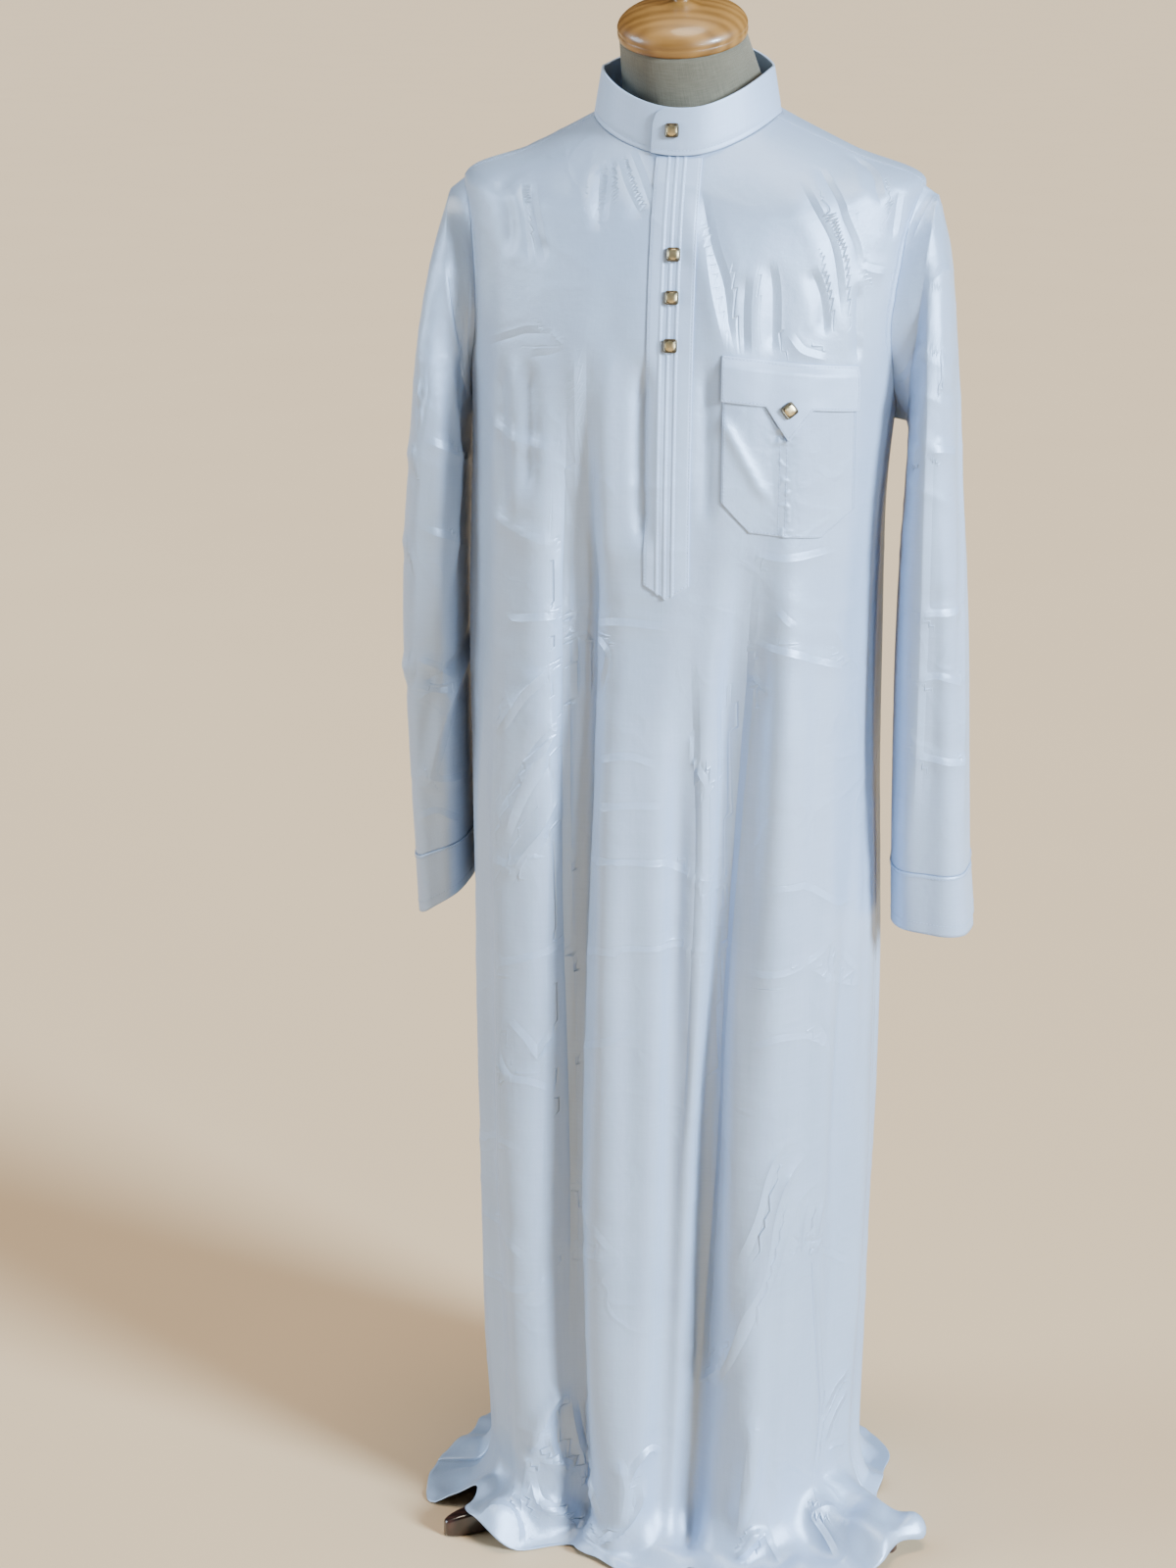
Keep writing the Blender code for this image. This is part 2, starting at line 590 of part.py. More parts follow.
def make_buttons(group):
    on_strip = SOFT_GAP + WALL + TUCK_HEIGHT + HARD_GAP
    for number, z in enumerate(PLACKET_BUTTONS, 1):
        place, normal = front_skin(0.001, z, on_strip)
        make_button(group, f"button_placket_{number}", place, normal)
    flap_z = FLAP_TOP - FLAP_DEPTH - 0.001
    on_flap = SOFT_GAP + 2 * WALL + FLAP_CLEAR + BAG_FULLNESS + HARD_GAP
    place, normal = front_skin(POCKET_MIDDLE, flap_z, on_flap)
    make_button(group, "button_pocket", place, normal, math.radians(38))
    base = Vector(body(np.array([-94.0]), np.array([float(NECK)]))[0])
    top = Vector((base.x, base.y, 0)) * (1 - COLLAR_TAPER) + Vector((0, 0, base.z))
    rise = (top + Vector(COLLAR_LEAN) * COLLAR_HEIGHT - base).normalized()
    out = Vector((base.x, base.y, 0)).normalized()
    out = (out - rise * out.dot(rise)).normalized()
    place = base + rise * COLLAR_BUTTON_RISE + out * COLLAR_BUTTON_OUT
    make_button(group, "button_collar", place, out)


def ring_form(angle, v):
    """Points of the dress form's skin."""
    t = np.radians(angle)
    c, s = np.cos(t), np.sin(t)
    x = c * column(FORM, "half", v)
    y = s * np.where(s < 0, column(FORM, "front", v), column(FORM, "back", v))
    side_z = column(FORM, "side_z", v)
    end_z = np.where(s < 0, column(FORM, "front_z", v), column(FORM, "back_z", v))
    return np.stack([x, y, side_z + (end_z - side_z) * s * s], axis=-1)


def make_form(group):
    """The linen-covered torso and neck, closed below by a flat board and above by the neck's top."""
    def skin(across, up):
        return ring_form(across * 360 - 180, up * (len(FORM) - 1))

    bm = warped_grid(skin, 26, 17, closed=True)
    rims = [edge for edge in bm.edges if edge.is_boundary]
    top = [edge for edge in rims if edge.verts[0].co.z > 1]
    bottom = [edge for edge in rims if edge.verts[0].co.z < 1]
    grown = bmesh.ops.extrude_edge_only(bm, edges=top)["geom"]
    lifted = [item for item in grown if isinstance(item, bmesh.types.BMVert)]
    place = Vector(NECK_PLACE)
    tilt = Matrix.Rotation(NECK_TILT, 3, "X")
    for vert in lifted:
        a = math.atan2(vert.co.y, vert.co.x)
        vert.co = place + tilt @ Vector((math.cos(a), math.sin(a), 0)) * (CAP_RADIUS - 0.0015)
    neck_top = [edge for edge in bm.edges if edge.is_boundary and edge.verts[0].co.z > 1]
    bmesh.ops.contextual_create(bm, geom=neck_top)
    bmesh.ops.contextual_create(bm, geom=bottom)
    bmesh.ops.triangulate(bm, faces=[face for face in bm.faces if len(face.verts) > 4])
    bmesh.ops.recalc_face_normals(bm, faces=bm.faces)
    mesh_object(bm, group, "form_torso", LINEN)


def turned(group, name, profile, look, steps=24):
    """A turned piece: the profile runs down its outer side from the axis to the axis."""
    bm = bmesh.new()
    points = [bm.verts.new((r, 0, z)) for r, z in profile]
    for a, b in zip(points, points[1:]):
        bm.edges.new((a, b))
    obj = mesh_object(bm, group, name, look)
    screw = obj.modifiers.new("Screw", "SCREW")
    screw.steps = steps
    screw.render_steps = steps
    screw.use_merge_vertices = True
    screw.merge_threshold = 0.0001
    return obj


def make_cap(group):
    """The neck's wooden cap: a rim bead, a low dome and a small plain knob."""
    profile = list(KNOB)
    for a in np.radians(range(20, 89, 12)):
        profile.append((CAP_RADIUS * math.sin(a), CAP_RIM + CAP_DOME * math.cos(a)))
    profile += [(CAP_RADIUS, CAP_RIM), (CAP_RADIUS, CAP_EDGE)]
    profile += [(CAP_RADIUS - CAP_EDGE, 0.0), (0.0, 0.0)]
    obj = turned(group, "form_neck_cap", profile, VARNISHED_WOOD)
    obj.rotation_euler = (NECK_TILT, 0, 0)
    normal = Matrix.Rotation(NECK_TILT, 3, "X") @ Vector((0, 0, 1))
    obj.location = Vector(NECK_PLACE) + normal * HARD_GAP


def make_stand(group):
    """The pole, the turned hub that it stands in, and three low legs round the hub."""
    top, bottom = FORM_BOTTOM - HARD_GAP, HUB_HEIGHT + HARD_GAP
    pole = [(0.0, top), (POLE_RADIUS, top), (POLE_RADIUS, bottom), (0.0, bottom)]
    turned(group, "stand_pole", pole, DARK_WOOD, steps=20)
    shoulder = HUB_HEIGHT - 0.012
    hub = [(0.0, HUB_HEIGHT), (0.021, HUB_HEIGHT), (0.026, shoulder), (0.030, shoulder - 0.010)]
    hub += [(HUB_RADIUS, 0.040), (HUB_RADIUS, 0.0), (0.0, 0.0)]
    turned(group, "stand_hub", hub, DARK_WOOD)
    for name, degrees in LEG_ANGLES.items():
        make_leg(group, name, degrees)


def make_leg(group, name, degrees):
    """A low leg that tapers from the hub to a rounded toe, flat below."""
    start = HUB_RADIUS + HARD_GAP
    bpy.ops.mesh.primitive_cube_add(size=1)
    obj = bpy.context.object
    bm = bmesh.new()
    bm.from_mesh(obj.data)
    long_edges = [edge for edge in bm.edges if abs(edge.verts[0].co.x - edge.verts[1].co.x) > 0.5]
    bmesh.ops.subdivide_edges(bm, edges=long_edges, cuts=5)
    for vert in bm.verts:
        share = vert.co.x + 0.5
        past = max(0.0, (share - TOE_START) / (1 - TOE_START))
        toe = math.sqrt(1 - 0.82 * past**2)
        height = (LEG_HEIGHT + 0.010 * (1 - share) ** 3) * (0.55 + 0.45 * toe)
        width = (LEG_WIDTH - 0.004 * share) * toe
        above = vert.co.z > 0
        y = vert.co.y * width * (LEG_TOP_SHARE if above else 1.0)
        vert.co = (start + LEG_LENGTH * share, y, height if above else 0.0)
    bm.to_mesh(obj.data)
    bm.free()
    for owner in list(obj.users_collection):
        owner.objects.unlink(obj)
    group.objects.link(obj)
    bevel = obj.modifiers.new("Bevel", "BEVEL")
    bevel.width = 0.0032
    bevel.segments = 1
    bevel.limit_method = "ANGLE"
    bevel.angle_limit = math.radians(50)
    obj.rotation_euler = (0, 0, math.radians(degrees))
    finish(name, obj, DARK_WOOD)


def main():
    for obj in list(bpy.data.objects):
        bpy.data.objects.remove(obj)
    group = collection("thobe_on_dress_form")
    rows = len(panel_rows()) - 1
    cloth(group, "front", lambda a, u: panel_point("front", a, u), len(FRONT_COLUMNS) - 1, rows)
    cloth(group, "back", lambda a, u: panel_point("back", a, u), len(BACK_COLUMNS) - 1, rows)
    make_sleeve(group, "left", LEFT_SLEEVE, True)
    make_sleeve(group, "right", RIGHT_SLEEVE, False)
    make_collar(group)
    make_placket(group)
    make_pocket(group)
    make_buttons(group)
    make_form(group)
    make_cap(group)
    make_stand(group)


main()
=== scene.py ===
"""The looks of a long white satin robe on a limbless dress form and its stand.

The solids of the frame carry the sizes. Each cloth piece here is a finer shell on the same named
sections, with its creases laid on one by one. Left and right are the wearer's own, the front faces -Y,
and the floor is at zero.
"""

import math
from collections import namedtuple

import bmesh
import bpy
import numpy as np
from mathutils import Matrix, Vector, noise


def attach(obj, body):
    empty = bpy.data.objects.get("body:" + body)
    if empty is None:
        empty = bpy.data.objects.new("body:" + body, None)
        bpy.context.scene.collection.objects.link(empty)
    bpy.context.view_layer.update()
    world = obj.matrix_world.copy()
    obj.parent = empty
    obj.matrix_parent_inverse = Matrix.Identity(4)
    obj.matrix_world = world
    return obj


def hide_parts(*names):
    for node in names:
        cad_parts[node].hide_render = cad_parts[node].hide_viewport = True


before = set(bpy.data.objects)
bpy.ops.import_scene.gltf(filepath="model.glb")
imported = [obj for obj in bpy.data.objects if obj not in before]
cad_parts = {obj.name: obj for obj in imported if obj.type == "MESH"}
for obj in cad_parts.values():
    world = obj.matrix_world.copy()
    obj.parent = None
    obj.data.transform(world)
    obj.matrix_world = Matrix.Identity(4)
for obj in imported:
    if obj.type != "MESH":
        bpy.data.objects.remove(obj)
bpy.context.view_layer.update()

# Cloth
WALL = 0.0011
SOFT_GAP = 0.0004
FLOOR_CLEAR = 0.0008
CRUMPLE_BROAD = 0.0014
CRUMPLE_ACROSS = 0.0013
CRUMPLE_HANG = 0.0120
LINE_REACH = 0.013
LINE_WIDTH = 0.0027
FAR_FROM_LINES = 0.05
SMALL_WRINKLE = 0.0004

# Collar
COLLAR_HEIGHT = 0.042
COLLAR_WALL = 0.0022
COLLAR_LAP = 0.036
COLLAR_TAPER = 0.085
COLLAR_CORNER = 0.016
COLLAR_LEAN = np.array([0.0, -0.10, 0.995])
COLLAR_BUTTON_RISE = 0.022
COLLAR_BUTTON_OUT = 0.0043

# Placket
PLACKET_WIDTH = 0.042
PLACKET_TOP = 1.3965
PLACKET_SHOULDER = 1.016
PLACKET_TIP = 1.003
TUCK_PLACES = (-0.0088, -0.0016, 0.0056)
TUCK_WIDTH = 0.0022
TUCK_HEIGHT = 0.0009
TRIM_WALL = 0.0014

# Breast pocket, on the wearer's left
POCKET_MIDDLE = 0.107
POCKET_WIDTH = 0.116
POCKET_TOP = 1.207
POCKET_BOTTOM = 1.062
POCKET_CHAMFER = 0.026
POCKET_SLOPE = 0.11
BAG_FULLNESS = 0.003
FLAP_TOP = 1.221
FLAP_DEPTH = 0.041
FLAP_POINT = 0.030
FLAP_POINT_WIDTH = 0.040
FLAP_RISE = 0.011
FLAP_CLEAR = 0.0019

# Buttons
BUTTON_SIDE = 0.0128
BUTTON_THICK = 0.0036
PLACKET_BUTTONS = (1.314, 1.277, 1.235)

# Stitches
STITCH_LENGTH = 0.0026
STITCH_GAP = 0.0007
STITCH_RADIUS = 0.00024

# Dress form and stand
NECK_TILT = math.radians(19)
NECK_PLACE = (-0.009, -0.012, 1.500)
CAP_RADIUS = 0.0600
CAP_RIM = 0.0085
CAP_DOME = 0.021
CAP_EDGE = 0.0012
CAP_BEAD = 0.0030
CAP_BEAD_UNDER = 1.4
HARD_GAP = 0.0003
POLE_RADIUS = 0.014
FORM_BOTTOM = 0.74
HUB_HEIGHT = 0.075
HUB_RADIUS = 0.036
LEG_LENGTH = 0.236
LEG_HEIGHT = 0.024
LEG_WIDTH = 0.028
LEG_TOP_SHARE = 0.84
TOE_START = 0.82
SHORT_TOE = 0.009
LEG_ANGLES = {"stand_leg_right": -145, "stand_leg_left": -25, "stand_leg_back": 95}

# Body sections, from the hem up. left and right are half widths, at the wearer's own left and
# right; front and back are depths; the three heights are at the side, front and back; boxy swells
# the corners; spread is how far the section follows the hem's own outline on the floor.
Ring = namedtuple("Ring", "name left right front back side_z front_z back_z boxy spread")
RINGS = (
    Ring("hem edge", 0.190, 0.190, 0.160, 0.160, 0.0032, 0.0032, 0.0032, 0.02, 1.0),
    Ring("floor break", 0.186, 0.192, 0.156, 0.156, 0.011, 0.012, 0.011, 0.02, 0.42),
    Ring("ankle", 0.183, 0.196, 0.151, 0.153, 0.060, 0.058, 0.060, 0.03, 0.06),
    Ring("shin", 0.186, 0.208, 0.150, 0.155, 0.190, 0.185, 0.190, 0.04, 0.0),
    Ring("knee", 0.190, 0.213, 0.152, 0.152, 0.420, 0.415, 0.420, 0.05, 0.0),
    Ring("thigh", 0.190, 0.213, 0.155, 0.147, 0.660, 0.655, 0.660, 0.06, 0.0),
    Ring("hip", 0.187, 0.209, 0.157, 0.140, 0.880, 0.880, 0.880, 0.07, 0.0),
    Ring("waist", 0.187, 0.206, 0.158, 0.133, 1.035, 1.045, 1.040, 0.08, 0.0),
    Ring("armpit", 0.194, 0.204, 0.152, 0.129, 1.150, 1.165, 1.160, 0.09, 0.0),
    Ring("chest", 0.201, 0.205, 0.146, 0.125, 1.215, 1.238, 1.235, 0.09, 0.0),
    Ring("armhole", 0.209, 0.208, 0.136, 0.117, 1.290, 1.297, 1.308, 0.08, 0.0),
    Ring("shoulder tip", 0.217, 0.215, 0.122, 0.104, 1.369, 1.343, 1.363, 0.05, 0.0),
    Ring("shoulder", 0.152, 0.153, 0.108, 0.088, 1.399, 1.373, 1.409, 0.03, 0.0),
    Ring("neck", 0.081, 0.091, 0.094, 0.073, 1.430, 1.398, 1.452, 0.02, 0.0),
)
ARMPIT, TIP, NECK = 8, 11, 13


# Where the front and the back are sewn, as angles from the wearer's left side, by ring. The two
# edges part between the armpit and the shoulder tip, which leaves the armhole. gap is the seam's.
Edge = namedtuple("Edge", "ring front back gap")
EDGES = (
    Edge(0, -4, -4, 0.0005),
    Edge(ARMPIT - 0.6, -2, -2, 0.0005),
    Edge(ARMPIT, -1, -1, 0.0005),
    Edge(ARMPIT + 0.5, -16, 14, 0.0005),
    Edge(ARMPIT + 1.5, -26, 23, 0.0005),
    Edge(ARMPIT + 2.4, -22, 15, 0.0005),
    Edge(TIP - 0.2, -15, 4, 0.0010),
    Edge(TIP, -7, -7, 0.0022),
    Edge(TIP + 0.7, -11, -11, 0.0018),
    Edge(NECK, -14, -14, 0.0012),
)


# The hem's outline where it lies on the floor: its distance from the middle, by angle.
Reach = namedtuple("Reach", "angle distance")
REACHES = (
    Reach(-180, 0.258),
    Reach(-160, 0.272),
    Reach(-151, 0.222),
    Reach(-143, 0.240),
    Reach(-131, 0.226),
    Reach(-119, 0.202),
    Reach(-108, 0.176),
    Reach(-96, 0.192),
    Reach(-80, 0.208),
    Reach(-62, 0.226),
    Reach(-46, 0.240),
    Reach(-33, 0.278),
    Reach(-22, 0.290),
    Reach(-12, 0.246),
    Reach(0, 0.212),
    Reach(24, 0.226),
    Reach(48, 0.242),
    Reach(70, 0.226),
    Reach(94, 0.242),
    Reach(120, 0.228),
    Reach(146, 0.244),
    Reach(163, 0.236),
)


# The largest folds. An angle at the top and at the hem, the height where the fold begins and the
# height where it is full, its depth (in is negative) and its half width in degrees.
Fold = namedtuple("Fold", "name high_angle low_angle top full depth width")
FOLDS = (
    Fold("right flute", -134, -134, 1.22, 0.75, 0.015, 11),
    Fold("right valley", -114, -117, 1.25, 1.00, -0.027, 5.2),
    Fold("middle flute", -100, -101, 1.00, 0.74, 0.014, 9),
    Fold("middle valley", -84, -90, 0.99, 0.74, -0.012, 5),
    Fold("left valley", -67, -80, 1.12, 0.86, -0.027, 5.2),
    Fold("left flute", -52, -61, 1.10, 0.80, 0.017, 13),
    Fold("left side valley", -25, -29, 1.00, 0.55, -0.012, 6.5),
    Fold("left back flute", 24, 24, 1.00, 0.60, 0.011, 11),
    Fold("left back valley", 46, 44, 1.20, 0.90, -0.018, 6),
    Fold("back left flute", 66, 68, 1.14, 0.80, 0.013, 10),
    Fold("back valley", 92, 90, 1.20, 0.90, -0.017, 6),
    Fold("back right flute", 114, 112, 1.14, 0.80, 0.014, 11),
    Fold("right back valley", 137, 136, 1.20, 0.90, -0.018, 6),
    Fold("right back flute", 158, 158, 1.00, 0.60, 0.010, 10),
)


# Sleeve sections, from the cuff's hem up: the inner and outer points across the arm, the middle and
# half depth from front to back. The top of the sleeve is the body's own armhole.
Section = namedtuple("Section", "name inner_x inner_z outer_x outer_z middle_y depth boxy")
LEFT_SLEEVE = (
    Section("hem", 0.2085, 0.655, 0.2875, 0.648, 0.004, 0.054, 0.16),
    Section("cuff seam", 0.2060, 0.716, 0.2825, 0.713, 0.000, 0.056, 0.15),
    Section("wrist", 0.2045, 0.780, 0.2800, 0.780, -0.004, 0.061, 0.14),
    Section("forearm", 0.2040, 0.900, 0.2745, 0.900, -0.010, 0.068, 0.13),
    Section("elbow", 0.2050, 1.010, 0.2670, 1.010, -0.012, 0.074, 0.12),
    Section("upper arm", 0.2080, 1.095, 0.2580, 1.118, -0.010, 0.079, 0.11),
    Section("underarm", 0.2090, 1.138, 0.2520, 1.210, -0.006, 0.081, 0.09),
    Section("cap", 0.2080, 1.146, 0.2425, 1.302, -0.004, 0.074, 0.06),
    Section("crown", 0.2070, 1.149, 0.2285, 1.358, -0.003, 0.064, 0.03),
)
RIGHT_SLEEVE = (
    Section("hem", 0.2180, 0.668, 0.2700, 0.634, 0.024, 0.066, 0.14),
    Section("cuff seam", 0.2170, 0.722, 0.2725, 0.698, 0.016, 0.066, 0.14),
    Section("wrist", 0.2160, 0.780, 0.2760, 0.772, 0.008, 0.068, 0.13),
    Section("forearm", 0.2160, 0.900, 0.2770, 0.900, -0.004, 0.071, 0.12),
    Section("elbow", 0.2150, 1.010, 0.2730, 1.010, -0.010, 0.075, 0.12),
    Section("upper arm", 0.2120, 1.095, 0.2640, 1.118, -0.010, 0.079, 0.11),
    Section("underarm", 0.2110, 1.138, 0.2560, 1.210, -0.006, 0.081, 0.09),
    Section("cap", 0.2090, 1.146, 0.2430, 1.302, -0.004, 0.074, 0.06),
    Section("crown", 0.2070, 1.149, 0.2280, 1.358, -0.003, 0.064, 0.03),
)
CUFF_SEAM = 1


# Dress form sections, from its flat underside up to the neck
Form = namedtuple("Form", "name half front back side_z front_z back_z")
FORM = (
    Form("underside", 0.140, 0.098, 0.096, FORM_BOTTOM, FORM_BOTTOM, FORM_BOTTOM),
    Form("hip", 0.162, 0.116, 0.112, 0.775, 0.775, 0.775),
    Form("high hip", 0.160, 0.116, 0.108, 0.880, 0.880, 0.880),
    Form("waist", 0.150, 0.110, 0.096, 1.000, 1.000, 1.000),
    Form("chest", 0.166, 0.122, 0.106, 1.170, 1.175, 1.170),
    Form("upper chest", 0.176, 0.113, 0.099, 1.268, 1.273, 1.278),
    Form("shoulder side", 0.187, 0.098, 0.086, 1.341, 1.323, 1.341),
    Form("shoulder", 0.147, 0.086, 0.074, 1.3958, 1.360, 1.391),
    Form("neck root", 0.075, 0.070, 0.058, 1.420, 1.387, 1.432),
    Form("neck", 0.066, 0.066, 0.054, 1.454, 1.426, 1.474),
)
